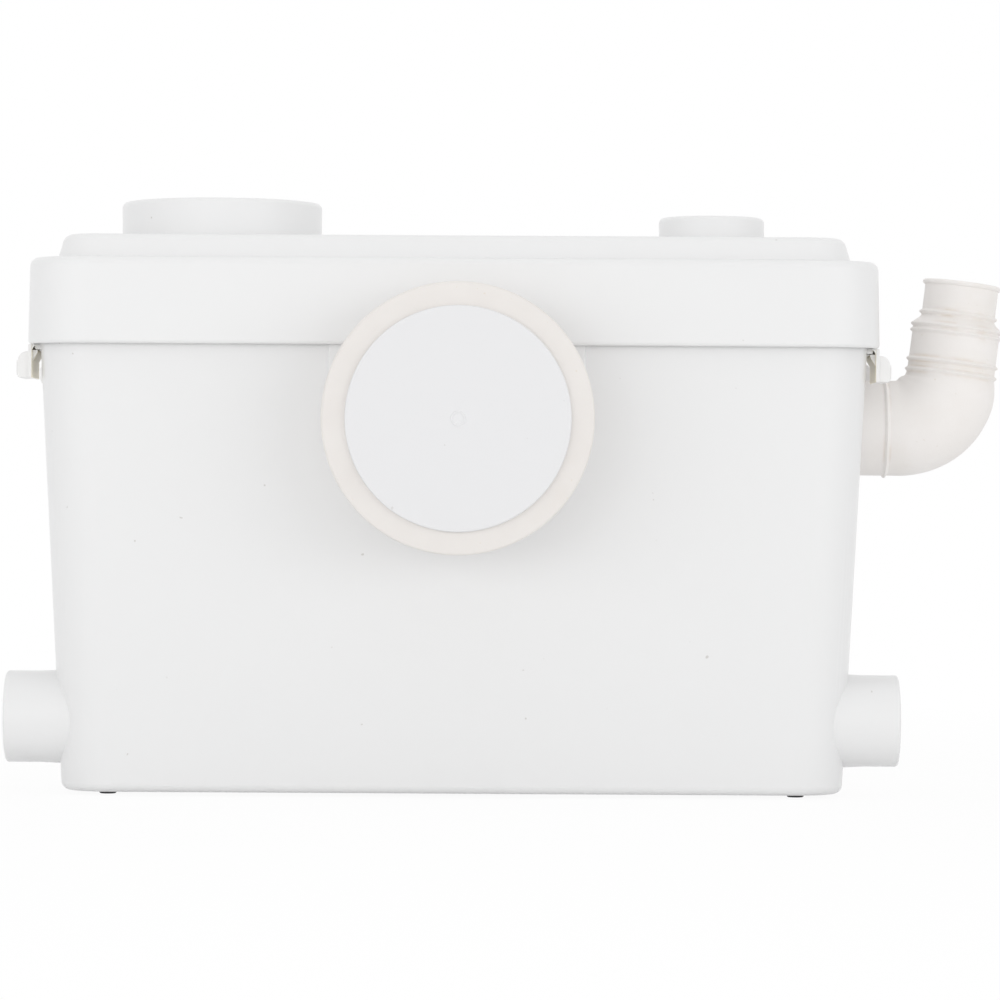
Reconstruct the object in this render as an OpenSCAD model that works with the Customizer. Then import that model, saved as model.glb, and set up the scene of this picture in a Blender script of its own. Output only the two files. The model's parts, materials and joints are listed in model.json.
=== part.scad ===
// Macerator toilet pump: a drafted tank with a clipped lid, a rubber pan inlet in front,
// two side inlets, a rubber discharge elbow, and the motor, shredder, pump and level switch inside.
// Millimetres, +Z up, the pan inlet faces -Y and the discharge elbow stands on the +X side.

/* [Place] */
// Tank centre along X, from the middle of the whole part
tank_x = -24.5; // [-40:0.5:0]
// Tank centre along Y, from the middle of the whole part
tank_y = 16; // [0:0.5:40]

/* [Tank] */
// Width of the tank at its underside
tank_w = 341; // [330:1:360]
// Depth of the tank at its underside
tank_d = 151; // [146:1:170]
// Height of the tank from its underside to its rim
tank_h = 223.7; // [218:0.1:240]
// Slope of the tank's sides from the upright
tank_draft = 2.75; // [2.4:0.05:3.1]
// Thickness of the tank's walls and floor
tank_wall = 3; // [2.5:0.1:3.5]
// Radius of the tank's upright corners
tank_corner = 22; // [18:1:26]
// Rounding between the tank's floor and its walls
floor_round = 6; // [4:0.5:8]

/* [Feet] */
// Radius of a rubber foot where it meets the tank
foot_r = 4; // [3:0.5:6]
// Height of a foot below the tank
foot_drop = 3.3; // [2.5:0.1:5]
// How much narrower a foot is at the floor
foot_taper = 1; // [0.5:0.1:1.5]
// Distance of the feet in from the tank's ends
foot_inset_x = 20.5; // [14.5:1:50.5]
// Distance of the feet in from the tank's front and back
foot_inset_y = 18.5; // [13.5:1:35.5]
// Radius of the peg that holds a foot in the floor
foot_peg_r = 2; // [1.5:0.1:2.5]
// Length of the peg that holds a foot in the floor
foot_peg_l = 2; // [1:0.1:2.2]

/* [Lid] */
// Thickness of the lid
lid_wall = 2.5; // [2:0.1:3]
// Gap between the tank's rim and the lid's skirt
lid_gap = 1.3; // [1:0.1:2]
// How far the skirt laps down from the tank's rim
skirt_lap = 31.5; // [26:0.5:36]
// Rounding of the skirt's upper edge
skirt_round = 6; // [3:0.5:8]
// How far the crown is set in from the skirt
crown_step = 11; // [9:0.5:14]
// Height of the crown above the skirt
crown_h = 10.5; // [9:0.5:14]
// Radius of the crown's corners in plan
crown_corner = 18; // [14:1:24]
// Rounding of the crown's upper edge
crown_round = 8; // [4:0.5:8.5]
// Rounding inside the lid's edges
hollow_round = 1; // [0.5:0.1:1.5]
// Thickness of the rubber seal between rim and lid
seal_h = 3.5; // [2.5:0.1:5]
// How far the seal is set in from the rim's faces
seal_inset = 0.3; // [0.1:0.1:0.6]

/* [Lid clips] */
// Middle of a clip, in from the tank's front or back at its underside
clip_inset = 25.5; // [21.5:1:31.5]
// Length of a clip along the lid's edge
clip_w = 32; // [24:1:36]
// How far a clip hangs below the skirt
clip_h = 14.5; // [13:0.5:18]
// Thickness of a clip's blade
clip_t = 2.2; // [1.8:0.1:2.5]
// Gap between the skirt's edge and a clip
clip_gap = 0.3; // [0.2:0.1:0.6]
// How far the finger grip stands out from the blade
grip_out = 5.5; // [3:0.1:6]
// Distance from the skirt's edge to the top of the grip
grip_top = 3; // [2:0.1:4]
// How far the finger grip is set in from the clip's ends
grip_inset = 2; // [1:0.5:3]
// Radius of a groove in a finger grip
groove_r = 0.8; // [0.5:0.1:1]
// Number of grooves in a finger grip
grip_grooves = 5; // [3:1:7]
// How far a barb reaches in from the blade
barb_reach = 2.2; // [1.8:0.1:2.4]
// Height of a barb's ramp
barb_h = 5; // [3:0.5:7]
// Height of a barb's blunt nose
barb_nose = 1; // [0.5:0.1:1.5]
// Width of the lug that a barb hooks under
lug_w = 20; // [14:1:24]
// Height of the lug that a barb hooks under
lug_h = 5.6; // [4:0.1:7]
// Play between barb and lug, and between lug and skirt
lug_play = 0.3; // [0.2:0.05:0.5]
// Distance from the skirt's edge down to the top of a barb
barb_drop = 2.4; // [2:0.1:3]

/* [Caps] */
// Outer radius of the motor cap
motor_cap_r = 44.7; // [43.5:0.1:50]
// Height of the motor cap above the lid
motor_cap_h = 18.7; // [14:0.1:24]
// Outer radius of the vent cap
vent_cap_r = 23.6; // [21:0.1:28]
// Height of the vent cap above the lid
vent_cap_h = 12.4; // [11:0.1:18]
// Middle of the vent cap, in from the tank's right side at its underside
vent_inset = 55.8; // [40.5:0.1:58.5]
// Wall of both caps
cap_wall = 2.5; // [1.8:0.1:3]
// Rounding of the caps' upper edge
cap_round = 3.5; // [2:0.1:4.5]
// Play between a cap and the ring that it sits over
cap_fit = 0.3; // [0.2:0.05:0.5]
// Thickness of the rings under the caps
ring_wall = 2.4; // [1.8:0.1:3]
// Height of the rings under the caps
ring_h = 7; // [5:0.5:8]
// Radius of the vent hole in the lid
vent_hole_r = 15; // [10:0.5:16]
// Height of the carbon filter
filter_h = 9; // [7:0.1:9.4]
// Play around the carbon filter
filter_fit = 0.3; // [0.1:0.1:0.6]

/* [Pan inlet] */
// Pan inlet along X, from the tank's centre
inlet_x = 1.5; // [-2:0.5:4]
// Distance of the pan inlet's axis below the tank's rim
inlet_drop = 62.5; // [59:0.5:67]
// Outer radius of the collar's tube
collar_r = 52; // [50:0.5:54]
// Radius of the collar's bore
collar_bore_r = 45; // [43:0.5:46]
// Outer radius of the collar's lip
lip_r = 57; // [55:0.5:60]
// Length of the collar's lip
lip_l = 12; // [9:0.5:16]
// Rounding of the collar's lip
lip_round = 4; // [2:0.5:4.4]
// How far the collar stands out from the tank's pad
collar_reach = 42; // [36:1:50]
// Where the collar's bore widens, in front of the tank's pad
relief_gap = 4; // [2:0.5:10]
// How far the collar passes the tank's front wall inside
collar_tail = 10; // [6:1:12]
// Play between collar and tank
collar_fit = 0.05; // [0.02:0.01:0.1]
// Widening of the bore at the collar's mouth
mouth_step = 1.5; // [1:0.1:2]
// Depth of the widened mouth
mouth_l = 9; // [8:0.5:12]
// Margin of the tank's raised pad around the collar
pad_margin = 3.5; // [2:0.5:4.5]
// Margin of the lid's arch around the collar
arch_margin = 1.5; // [1:0.1:2.5]
// Radius of the blank disc
blank_r = 47.5; // [47:0.1:50]
// Thickness of the blank disc
blank_t = 3; // [2:0.1:4]
// Thickness of the blank's plug ring
plug_wall = 3.5; // [2:0.1:5]
// Length of the blank's plug ring
plug_l = 7.5; // [5:0.1:7.8]
// Play around the blank's plug ring
plug_fit = 0.3; // [0.2:0.05:0.5]

/* [Side inlets] */
// Outer radius of a side inlet
stub_r = 20; // [19:0.5:21]
// Bore radius of a side inlet
stub_bore_r = 17.5; // [17:0.1:17.8]
// How far a side inlet reaches past the tank's side at its underside
stub_l = 24.5; // [19.5:1:34.5]
// Axis of the side inlets, in from the tank's front at its underside
stub_inset = 25.5; // [23.5:0.5:29.5]
// Height of the side inlets' axis
stub_z = 33.1; // [31:0.1:36]
// Rounding of a side inlet's end
stub_round = 1.2; // [0.6:0.1:1.2]
// Step at the root of a side inlet
root_step = 0.4; // [0.3:0.05:0.8]
// Length of the root ring outside the tank's wall
root_l = 2.6; // [2:0.1:4]

/* [Side inlet valves] */
// Length of a valve ring
valve_ring_l = 8; // [6:0.5:12]
// Bore radius of a valve ring
valve_ring_bore = 12.5; // [10:0.5:13]
// Play around a valve ring
valve_ring_fit = 0.05; // [0.02:0.01:0.1]
// Radius of a side inlet flap
flap_r = 14.2; // [13.8:0.1:14.6]
// Thickness of a flap
flap_t = 1.6; // [1.2:0.1:2]
// Gap between a flap and its seat
flap_gap = 0.3; // [0.2:0.05:0.5]
// Radius of a flap's hinge pin
flap_pin_r = 1; // [0.8:0.05:1.1]
// Running play of a flap's hinge pin
flap_play = 0.05; // [0.02:0.01:0.09]
// Distance of a hinge ear from the flap's middle
ear_y = 5; // [4:0.1:5.4]
// Wall of a hinge ear around the pin
ear_wall = 0.9; // [0.7:0.1:1]
// Thickness of a hinge ear
ear_t = 1.6; // [1.2:0.1:2]

/* [Discharge outlet] */
// Distance of the discharge axis below the tank's rim
outlet_drop = 64.8; // [59:0.1:71]
// Radius of the valve body's spigot
spigot_r = 16; // [15.5:0.1:16.4]
// Bore radius of the spigot
spigot_bore_r = 13.2; // [12.5:0.1:13.5]
// Distance between the spigot's end and the elbow's bend
spigot_short = 1.8; // [1:0.1:4]
// Radius of the valve body's flange and of the boss behind it
flange_r = 23; // [22:0.5:26]
// Thickness of the valve body's flange
flange_t = 2; // [1.5:0.1:3]
// How far the gasket is set in from the flange's rim
gasket_inset = 1; // [0.5:0.1:2]
// Thickness of the gasket under the flange
gasket_t = 1.2; // [0.8:0.1:2]
// Radius of the flap's chamber
chamber_r = 15; // [14.8:0.1:15.4]
// Length of the flap's chamber
chamber_l = 20; // [19.5:0.5:24]
// Wall of the flap's chamber and of the pipe socket
chamber_wall = 3; // [2:0.1:4]
// Bore radius of the flap's seat
seat_bore_r = 10; // [8:0.1:10.4]
// Thickness of the flap's seat
seat_t = 2.7; // [2:0.1:4]
// Radius of the check flap
check_r = 11.5; // [11.2:0.1:11.8]
// Length of the socket that takes the discharge pipe
socket_l = 9; // [6:0.5:9.5]
// Play around the pipe in its socket, and around the spigot in the tank
socket_fit = 0.05; // [0.02:0.01:0.1]
// How far the flap's chamber reaches into the flange
chamber_sink = 1.5; // [1:0.1:1.6]
// How far the outer boss stands out from the tank's side
boss_proud = 0.2; // [0.1:0.1:1]
// Height of the boss between wall and flange
boss_in = 2.6; // [2.4:0.1:4]

/* [Discharge elbow] */
// Outer radius of the elbow's leg
elbow_r = 20.9; // [19.6:0.1:21]
// Radius of the elbow's bend along its middle
elbow_bend_r = 24.5; // [24:0.5:30]
// Angle that the elbow turns through
elbow_turn = 82.9; // [75:0.1:90]
// Length of the leg from the tank's boss to the bend
elbow_leg = 17.6; // [13:0.1:22]
// Gap between the elbow and the tank's boss
elbow_gap = 0.3; // [0.2:0.1:0.8]
// Running play of the elbow on the spigot
elbow_play = 0.08; // [0.03:0.01:0.1]
// Bore radius of the bend
elbow_bore_r = 13; // [12:0.1:13.5]
// Radius of the sleeve above the bend
sleeve_r = 19.5; // [18.6:0.1:20]
// Length of the sleeve above the bend
sleeve_l = 24.4; // [24:0.1:30]
// Outer radius of the neck
neck_r = 16.4; // [15.6:0.1:17]
// Bore radius of the outlet
outlet_bore_r = 14; // [13.5:0.1:14.2]
// Length of the slope between sleeve and neck
neck_slope = 3.6; // [2:0.1:6]
// Length of the neck with its slope
neck_l = 19.8; // [16:0.1:26]
// Distance of the leg's bead from the bend
leg_bead_s = 4.1; // [2:0.1:6]
// Distance of the first rib from the bend
rib_s = 3.2; // [3:0.1:6]
// Distance between the two ribs
rib_step = 4.7; // [3:0.1:6]
// Distance of the sleeve's last bead from its end
sleeve_bead_s = 0.6; // [0.4:0.1:1]
// Distance between the sleeve's two upper beads
sleeve_bead_step = 2.8; // [2.4:0.1:4]
// Distance of the neck's bead from the slope
neck_bead_s = 1.5; // [1.5:0.1:4]
// How much further the rim's bead stands out
rim_out = 0.5; // [0.2:0.1:1]
// Radius of the beads' round section
bead_r = 1.1; // [0.8:0.1:1.4]
// How far a bead stands out
bead_out = 1; // [0.6:0.1:1.3]

/* [Pump] */
// Pump and motor axis, in from the tank's left side at its underside
pump_inset = 65.5; // [62.5:0.5:66.5]
// Height of the rubber mounts under the pump
mount_h = 5.7; // [4:0.1:8]
// Radius of a rubber mount
mount_r = 8; // [6:0.5:9]
// Distance of the rubber mounts in from the pump's rim
mount_inset = 14; // [10:0.5:20]
// Outer radius of the pump and of the shredder
pump_r = 50; // [48:0.5:50.5]
// Height of the volute
volute_h = 26; // [24:0.5:30]
// Wall of the volute around the impeller's chamber
volute_wall = 9; // [8.5:0.5:11]
// Thickness of the volute's bottom
volute_floor = 3; // [2:0.1:4]
// Radius of the suction eye
eye_r = 16; // [12:0.5:18]
// Thickness of the volute's cover
cover_t = 4; // [3:0.1:6]
// Distance of the outlet's axis in from the chamber's wall
outlet_inset = 11; // [10:0.5:14]
// Radius of the volute's outlet stub
pump_stub_r = 11.4; // [10.5:0.1:11.5]
// Bore radius of the volute's outlet stub
pump_stub_bore = 9; // [7:0.1:9.5]
// Gap between the impeller's tips and the chamber's wall
impeller_tip_gap = 5; // [3:0.5:11]
// Thickness of the impeller's plate
impeller_plate = 3; // [2:0.1:4]
// Wall of the impeller's hub
impeller_hub_wall = 4; // [3:0.5:6]
// Thickness of a vane
vane_t = 2; // [1.5:0.1:3]
// Wall of the impeller's nut
nut_wall = 2.5; // [2:0.1:3]
// Number of vanes on the impeller
vane_count = 6; // [4:1:8]
// Gap over and under the impeller
impeller_gap = 3; // [2:0.1:4]
// Radius of the motor's shaft
shaft_r = 6; // [5:0.1:6.5]
// Fit of what is mounted on the shaft or pressed in a seat
press_play = 0.03; // [0.01:0.01:0.06]
// Outer radius of the shaft seal's seat
seal_r = 9; // [8.2:0.1:10]
// Radial play between the shaft and the seal's seat
seal_play = 0.4; // [0.2:0.05:0.6]
// How far the seal's ring is set in from its seat's rim
seal_step = 0.5; // [0.3:0.1:1]
// Length of the shaft seal's ring
seal_l = 4; // [3:0.1:4.4]
// Gap between the seal's two faces
seal_gap = 0.3; // [0.1:0.05:0.4]
// Radius of the volute cover's screws
pump_screw_r = 1.5; // [1:0.1:1.8]
// Radius of the screws' heads
pump_screw_head_r = 2.6; // [2:0.1:3]
// Height of the screws' heads
pump_screw_head_h = 2.2; // [1.5:0.1:3]
// Depth of the screws' holes in the volute
pump_screw_l = 8; // [5:0.5:12]
// Wall between the impeller's chamber and a screw
pump_screw_wall = 1; // [0.8:0.1:1.6]

/* [Shredder] */
// Height of the basket
basket_h = 56; // [54:1:64]
// Wall of the basket
basket_wall = 3; // [2:0.1:4]
// Number of slots around the basket
slot_count = 24; // [16:1:32]
// Width of a slot
slot_w = 4; // [2:0.1:5]
// Height of a slot
slot_h = 40; // [30:1:46]
// Half width of the basket's mouth
mouth_half = 26; // [22:0.5:28]
// Height of the mouth's lower edge above the basket's foot
mouth_low = 15; // [14:0.5:18]
// Height of the basket's mouth
mouth_h = 36; // [30:0.5:36.5]
// Gap between the cutter and the basket
cutter_gap = 4; // [3.5:0.5:11]
// Height of the cutter above the volute's cover
cutter_low = 6; // [5.4:0.1:7]
// Thickness of the cutter's blades
blade_t = 4; // [2:0.1:5]
// Wall of the cutter's hub
cutter_hub_wall = 5; // [3:0.5:7]
// Width of a cutter's arm
arm_w = 15.4; // [10:0.1:18]
// How far the arms end inside the swept circle
tip_inset = 2; // [1:0.1:3]
// Width of a cutter's upright tip
tip_w = 4; // [2:0.1:6]
// How far the upright tips end below the hub's top
tip_drop = 2; // [0:0.1:4]
// Height of the cutter's hub
cutter_hub_h = 12; // [8:0.5:16]
// Wall of the waste chute
chute_wall = 2.5; // [2:0.1:3]
// Play between the chute and what it joins
chute_fit = 0.2; // [0.1:0.05:0.5]
// Gap between the chute's ring and the tank's front wall at the inlet's axis
chute_front_gap = 4; // [3.5:0.5:5]

/* [Motor] */
// How far the motor can is set in from the pump's rim
can_inset = 7; // [6.5:0.1:7.5]
// Thickness of the motor can
can_wall = 2.5; // [1.5:0.1:3]
// Thickness of the motor flange
motor_flange_t = 6; // [5.2:0.1:8]
// Height of the lower bearing's hub above the flange
hub_h = 8; // [6:0.5:10]
// Wall of the bearings' hubs
hub_wall = 4; // [3:0.5:6]
// Play around the shaft where it passes a cover
shaft_clear = 1; // [0.5:0.1:2]
// Distance of the shaft's lower end above the volute's underside
shaft_recess = 0.5; // [0.2:0.1:2]
// How far the shaft stands above the lid
shaft_out = 3; // [1:0.5:6]
// How far the rotor stands past the stator
rotor_over = 2; // [1:0.5:3]
// Thickness of the motor's top cover
top_cover_t = 5; // [4:0.1:7]
// Distance of the top cover's upper face below the lid
motor_drop = 14; // [11:0.5:18]
// Outer radius of the neck that passes the lid
motor_neck_r = 34; // [32:0.1:34.5]
// Wall of the neck that passes the lid
motor_neck_wall = 3; // [2:0.1:4]
// How far the neck stands above the lid
motor_neck_out = 6.5; // [5:0.1:9]
// Outer radius of the bearings
bearing_r = 15; // [13:0.5:16]
// Width of the bearings
bearing_w = 9; // [7:0.5:10]
// Outer radius of the rotor
rotor_r = 23.7; // [20:0.1:24]
// Gap between rotor and stator
air_gap = 0.8; // [0.5:0.1:1.2]
// Height of the stator
stator_h = 58; // [50:1:70]
// Length of a winding head over the stator
winding_h = 12; // [8:0.5:14]
// How far the windings are set in from the stator's faces
winding_inset = 1.6; // [1:0.1:3]
// Distance of the windings from the flange
winding_clear = 12.5; // [12:0.5:16]
// Radius of a tie rod
tie_r = 1.9; // [1.5:0.1:2]
// Radius of a tie rod's head
tie_head_r = 3.2; // [2.8:0.1:3.4]
// Height of a tie rod's head
tie_head_h = 3; // [2:0.1:4]
// Distance of the tie rods in from the pump's rim
tie_inset = 3.5; // [3:0.1:3.8]
// Play around the motor's neck in the lid's rubber boot
boot_fit = 0.1; // [0.05:0.05:0.3]
// Thickness of the boot where it passes the lid
boot_wall = 2.4; // [2:0.1:3]
// How far the boot laps over the lid's hole
boot_lap = 2; // [1.5:0.1:2.2]
// Thickness of the boot's flanges
boot_t = 2.5; // [2:0.1:3]

/* [Discharge pipe] */
// Outer radius of the discharge pipe
pipe_r = 14; // [13.5:0.1:14.5]
// Wall of the discharge pipe
pipe_wall = 2.5; // [2:0.1:2.8]
// Radius of the pipe's bends along its middle
pipe_bend_r = 18; // [16.5:0.5:22]
// Riser, in from the tank's right side at its underside
riser_inset = 49.5; // [48.5:0.5:54.5]
// Thickness of the coupling that joins the riser to its upper bend
coupling_wall = 1.6; // [1:0.1:2.4]
// Length of the coupling that joins the riser to its upper bend
coupling_l = 14; // [8:0.5:20]
// Gap between the pipe's end and the bottom of its socket
pipe_end_gap = 0.3; // [0.1:0.1:1]
// How far the pipe laps over the volute's stub
pipe_lap = 14; // [8:0.5:16]
// Length of the volute's stub outside the volute
pump_stub_l = 32; // [30:0.5:40]

/* [Level switch] */
// Middle of the control box, in from the tank's right side at its underside
box_inset_x = 92.5; // [91.5:0.5:92.5]
// Middle of the control box, in from the tank's front at its underside
box_inset_y = 45.5; // [44.5:0.5:47.5]
// Width of the control box
box_w = 40; // [38:0.5:40]
// Depth of the control box
box_d = 64; // [63:0.5:66]
// Height of the control box
box_h = 33.5; // [32.5:0.5:40]
// Wall of the control box
box_wall = 2; // [1.5:0.1:2.2]
// Radius of the control box's corners
box_corner = 4; // [3:0.5:5]
// Thickness of the control box's cover
box_cover_t = 2.5; // [2:0.1:4]
// Radius of the control box's screws
box_screw_r = 1.5; // [1.2:0.1:1.8]
// Radius of the control box's screw heads
box_screw_head_r = 3; // [2.4:0.1:3.4]
// Height of the control box's screw heads
box_screw_head_h = 2; // [1.5:0.1:3]
// Size of the control box's screw lugs
box_lug = 9; // [8:0.5:10]
// How far a lug is drawn in towards the box
lug_sink = 0.5; // [0:0.1:1]
// Thickness of the control box's screw lugs
box_lug_t = 3; // [2:0.1:4]
// Dip tube along X, from the control box's middle
dip_dx = -1; // [-1.5:0.5:1]
// Dip tube along Y, from the control box's middle
dip_dy = -12; // [-12.5:0.5:-11]
// Outer radius of the dip tube
dip_r = 11; // [10:0.1:11.5]
// Wall of the dip tube
dip_wall = 2; // [1.5:0.1:2.5]
// Gap between the dip tube and the floor
dip_floor_gap = 8; // [5:0.5:14]
// Length of the socket that holds the dip tube
dip_socket_l = 12; // [8:0.5:16]
// Radius of the membrane
membrane_r = 15.8; // [14.5:0.1:15.8]
// Margin of the membrane's seat around it
seat_margin = 0.2; // [0.1:0.1:0.4]
// Thickness of the membrane
membrane_t = 1; // [0.8:0.1:1.2]
// Height of the ring that the membrane lies on
membrane_seat_h = 6; // [5:0.1:6.4]
// Height of the membrane's cover
membrane_cover_h = 8; // [7.8:0.1:9]
// Wall of the membrane's cover
membrane_cover_wall = 2; // [1.5:0.1:2.2]
// Width of the rim that clamps the membrane
clamp_rim = 4; // [3:0.1:4.5]
// Radius of the plunger's stem
plunger_r = 3; // [2.5:0.1:3.2]
// Radius of the plunger's foot
plunger_foot_r = 8; // [7:0.1:8.5]
// Thickness of the plunger's foot
plunger_foot_t = 1.5; // [1.2:0.1:1.7]
// Length of the plunger's stem above the cover
plunger_out = 1.6; // [1.2:0.1:1.8]
// Upward travel of the plunger
plunger_travel = 2.5; // [2:0.1:2.6]
// Running play of the plunger
plunger_play = 0.05; // [0.02:0.01:0.09]
// Gap under the plunger's foot
plunger_gap = 0.3; // [0.2:0.05:0.3]
// Gap between the membrane's cover and the microswitch
switch_gap = 2; // [1.9:0.1:2.4]
// Width of the microswitch
switch_w = 20; // [16:0.5:22]
// Depth of the microswitch
switch_d = 10; // [8:0.5:11]
// Play around the plunger in the microswitch
button_play = 0.5; // [0.3:0.1:1]
// Gap over the plunger at its highest
button_gap = 0.8; // [0.4:0.1:1.2]
// Thickness of the plunger spring's coil
spring_t = 1; // [0.6:0.1:1.4]
// Gap between the plunger's stem and its spring
spring_play = 1; // [0.5:0.1:1.5]
// Gap at each end of the plunger's spring
spring_gap = 0.05; // [0.02:0.01:0.1]
// Height of the microswitch
switch_h = 7; // [6:0.1:8]
// Thickness of the circuit board
board_t = 1.6; // [1:0.1:2]
// Radius of the posts under the circuit board
post_r = 1.5; // [1:0.1:2]
// Width of the terminal block
terminal_w = 22; // [18:0.5:26]
// Depth of the terminal block
terminal_d = 9; // [7:0.5:10]
// Height of the terminal block
terminal_h = 4; // [3:0.1:4]
// Terminal block along Y, from the control box's middle
terminal_y = 10.5; // [8:0.5:14]
// Distance between the terminals
terminal_pitch = 5; // [4:0.1:5]
// Radius of a terminal's hole
terminal_r = 1.4; // [1:0.1:1.8]
// Play around the circuit board
board_fit = 0.4; // [0.2:0.1:0.8]
// Radius of the capacitor
cap_can_r = 8.6; // [7:0.1:8.8]
// Gap between the capacitor's ends and the board's posts
cap_end_gap = 0.6; // [0.3:0.1:3]
// Gap between the capacitor and the box's back wall
cap_side_gap = 0.3; // [0.2:0.1:1]
// Gap between the capacitor and the box's floor
cap_floor_gap = 0.1; // [0.05:0.05:0.3]
// Motor lead along Y, from the control box's middle
lead_dy = 25; // [20:0.5:26]
// Gap between the lead's end and the motor
lead_gap = 0.3; // [0.2:0.1:0.6]
// Radius of the motor lead
lead_r = 2.2; // [1.5:0.1:2.4]

/* [Cable gland] */
// Cable gland, in from the tank's right side at its underside
gland_inset = 92.5; // [60.5:1:130.5]
// Distance of the cable gland below the lid's skirt
gland_drop = 19.5; // [17.5:1:45.5]
// Radius of the gland's thread
gland_r = 8; // [6:0.5:9]
// Radius of the cable hole
gland_bore_r = 3.5; // [3:0.1:5]
// How much wider the cable hole is inside the wall
gland_relief = 1; // [0.5:0.1:2]
// Radius of the boss on the tank's back
gland_boss_r = 12.5; // [11:0.5:14]
// How far the boss stands out from the tank's back
gland_boss_out = 2; // [1.5:0.1:4]
// Length of the gland's hexagon
gland_hex_l = 4; // [3:0.5:6]
// Length of the gland's dome
gland_dome_l = 9; // [6:0.5:12]
// How far the gland's hexagon is set in from the boss
gland_hex_inset = 1.5; // [1:0.1:2]
// How much wider than the thread the dome starts
gland_dome_base = 1.5; // [1:0.1:2]
// How much narrower than the thread the dome ends
gland_dome_draw = 1; // [0.5:0.1:2]
// How far the thread stands past its nut
gland_tail = 1.2; // [0.5:0.1:3]
// Gap between the nut and the tank's wall
gland_nut_gap = 0.8; // [0.8:0.1:1.2]
// Thickness of the gland's nut
gland_nut_t = 4; // [3:0.5:5]
// Thread play of the gland
gland_fit = 0.1; // [0.05:0.05:0.2]

/* [Hidden] */
$fn = 64;
hull_fn = 32;
skin = 0.01;
past = 1;
joint_step = 0.5;
white = [0.93, 0.93, 0.92];
disc_white = [0.94, 0.95, 0.97];
cream = [0.93, 0.91, 0.87];
black = [0.08, 0.08, 0.08];
steel = [0.72, 0.72, 0.74];
copper = [0.72, 0.45, 0.25];
grey = [0.55, 0.56, 0.58];

// Levels and half sizes of the tank
base_z = foot_drop;
floor_z = base_z + tank_wall;
rim_z = base_z + tank_h;
slope = tan(tank_draft);
function tank_hx(z) = tank_w / 2 + (z - base_z) * slope;
function tank_hy(z) = tank_d / 2 + (z - base_z) * slope;
foot_x = tank_w / 2 - foot_inset_x;
foot_y = tank_d / 2 - foot_inset_y;

// Levels and half sizes of the lid
ledge_z = rim_z + seal_h;
step_z = ledge_z + lid_wall;
crown_z = step_z + crown_h;
under_z = crown_z - lid_wall;
skirt_z = rim_z - skirt_lap;
clip_y = tank_d / 2 - clip_inset;
grip_w = clip_w - 2 * grip_inset;
lid_hx = tank_hx(rim_z) + lid_gap + lid_wall;
lid_hy = tank_hy(rim_z) + lid_gap + lid_wall;
lid_corner = tank_corner + lid_gap + lid_wall;
crown_hx = lid_hx - crown_step;
crown_hy = lid_hy - crown_step;
motor_ring_r = motor_cap_r - cap_wall - cap_fit;
vent_ring_r = vent_cap_r - cap_wall - cap_fit;
vent_x = tank_w / 2 - vent_inset;
boot_hole_r = motor_neck_r + boot_fit + boot_wall;
lug_x = lid_hx - lid_wall - lug_play;
barb_z = skirt_z - barb_drop;
lug_z = barb_z + lug_play;

// Pan inlet
inlet_z = rim_z - inlet_drop;
pad_y = tank_hy(rim_z);
lip_y = -pad_y - collar_reach;
tail_y = -(tank_hy(inlet_z) - tank_wall - collar_tail);
pad_r = collar_r + pad_margin;
arch_r = collar_r + arch_margin;
mouth_r = collar_bore_r + mouth_step;
chute_ring_l = collar_tail - chute_front_gap;

// Side inlets
stub_end = tank_w / 2 + stub_l;
stub_y = stub_inset - tank_d / 2;
stub_wall_x = tank_hx(stub_z + stub_r);
root_x = stub_wall_x + root_l;
seat_x = tank_hx(stub_z) - tank_wall - flap_gap;
flap_pin_z = flap_r + flap_pin_r;
ear_r = flap_pin_r + flap_play + ear_wall;

// Discharge outlet: the boss's inner face, the gasket, the flange and the flap's seat
outlet_z = rim_z - outlet_drop;
outlet_wall_x = tank_hx(outlet_z);
boss_face_x = outlet_wall_x - tank_wall - boss_in;
boss_out_x = tank_hx(outlet_z + elbow_r) + boss_proud;
flange_face_x = boss_face_x - gasket_t;
chamber_x = flange_face_x - flange_t - chamber_l + chamber_sink;
socket_x = chamber_x - seat_t - socket_l;
check_pin_z = check_r + flap_pin_r;

// Discharge elbow
elbow_x = boss_out_x + elbow_gap;
bend_x = boss_out_x + elbow_leg;
spigot_end_x = bend_x - spigot_short;
neck_s = sleeve_l + neck_slope;
neck_end_s = sleeve_l + neck_l;

// Radii of the pump and the motor, in from the pump's rim
volute_bore_r = pump_r - volute_wall;
impeller_r = volute_bore_r - impeller_tip_gap;
outlet_offset = volute_bore_r - outlet_inset;
mount_pcd_r = pump_r - mount_inset;
pump_screw_pcd_r = volute_bore_r + pump_screw_r + pump_screw_wall;
cutter_r = pump_r - basket_wall - cutter_gap;
can_r = pump_r - can_inset;
tie_pcd_r = pump_r - tie_inset;
impeller_hub_r = shaft_r + impeller_hub_wall;
cutter_hub_r = shaft_r + cutter_hub_wall;

// Pump stack from the floor up
pump_x = pump_inset - tank_w / 2;
volute_z = floor_z + mount_h;
chamber_z = volute_z + volute_floor;
cover_z = volute_z + volute_h;
basket_z = cover_z + cover_t;
pump_axis_z = chamber_z + (volute_h - volute_floor) / 2;
flange_z = basket_z + basket_h;
can_z = flange_z + motor_flange_t;
top_cover_z = under_z - motor_drop - top_cover_t;
neck_top_z = crown_z + motor_neck_out;
stator_z = can_z + winding_clear + winding_h;
lower_bearing_z = can_z + hub_h - bearing_w;
shaft_low_z = volute_z + shaft_recess;
shaft_top_z = crown_z + shaft_out;
hub_r = bearing_r + hub_wall;
impeller_low_z = chamber_z + impeller_gap;
impeller_top_z = cover_z - impeller_gap;

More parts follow.
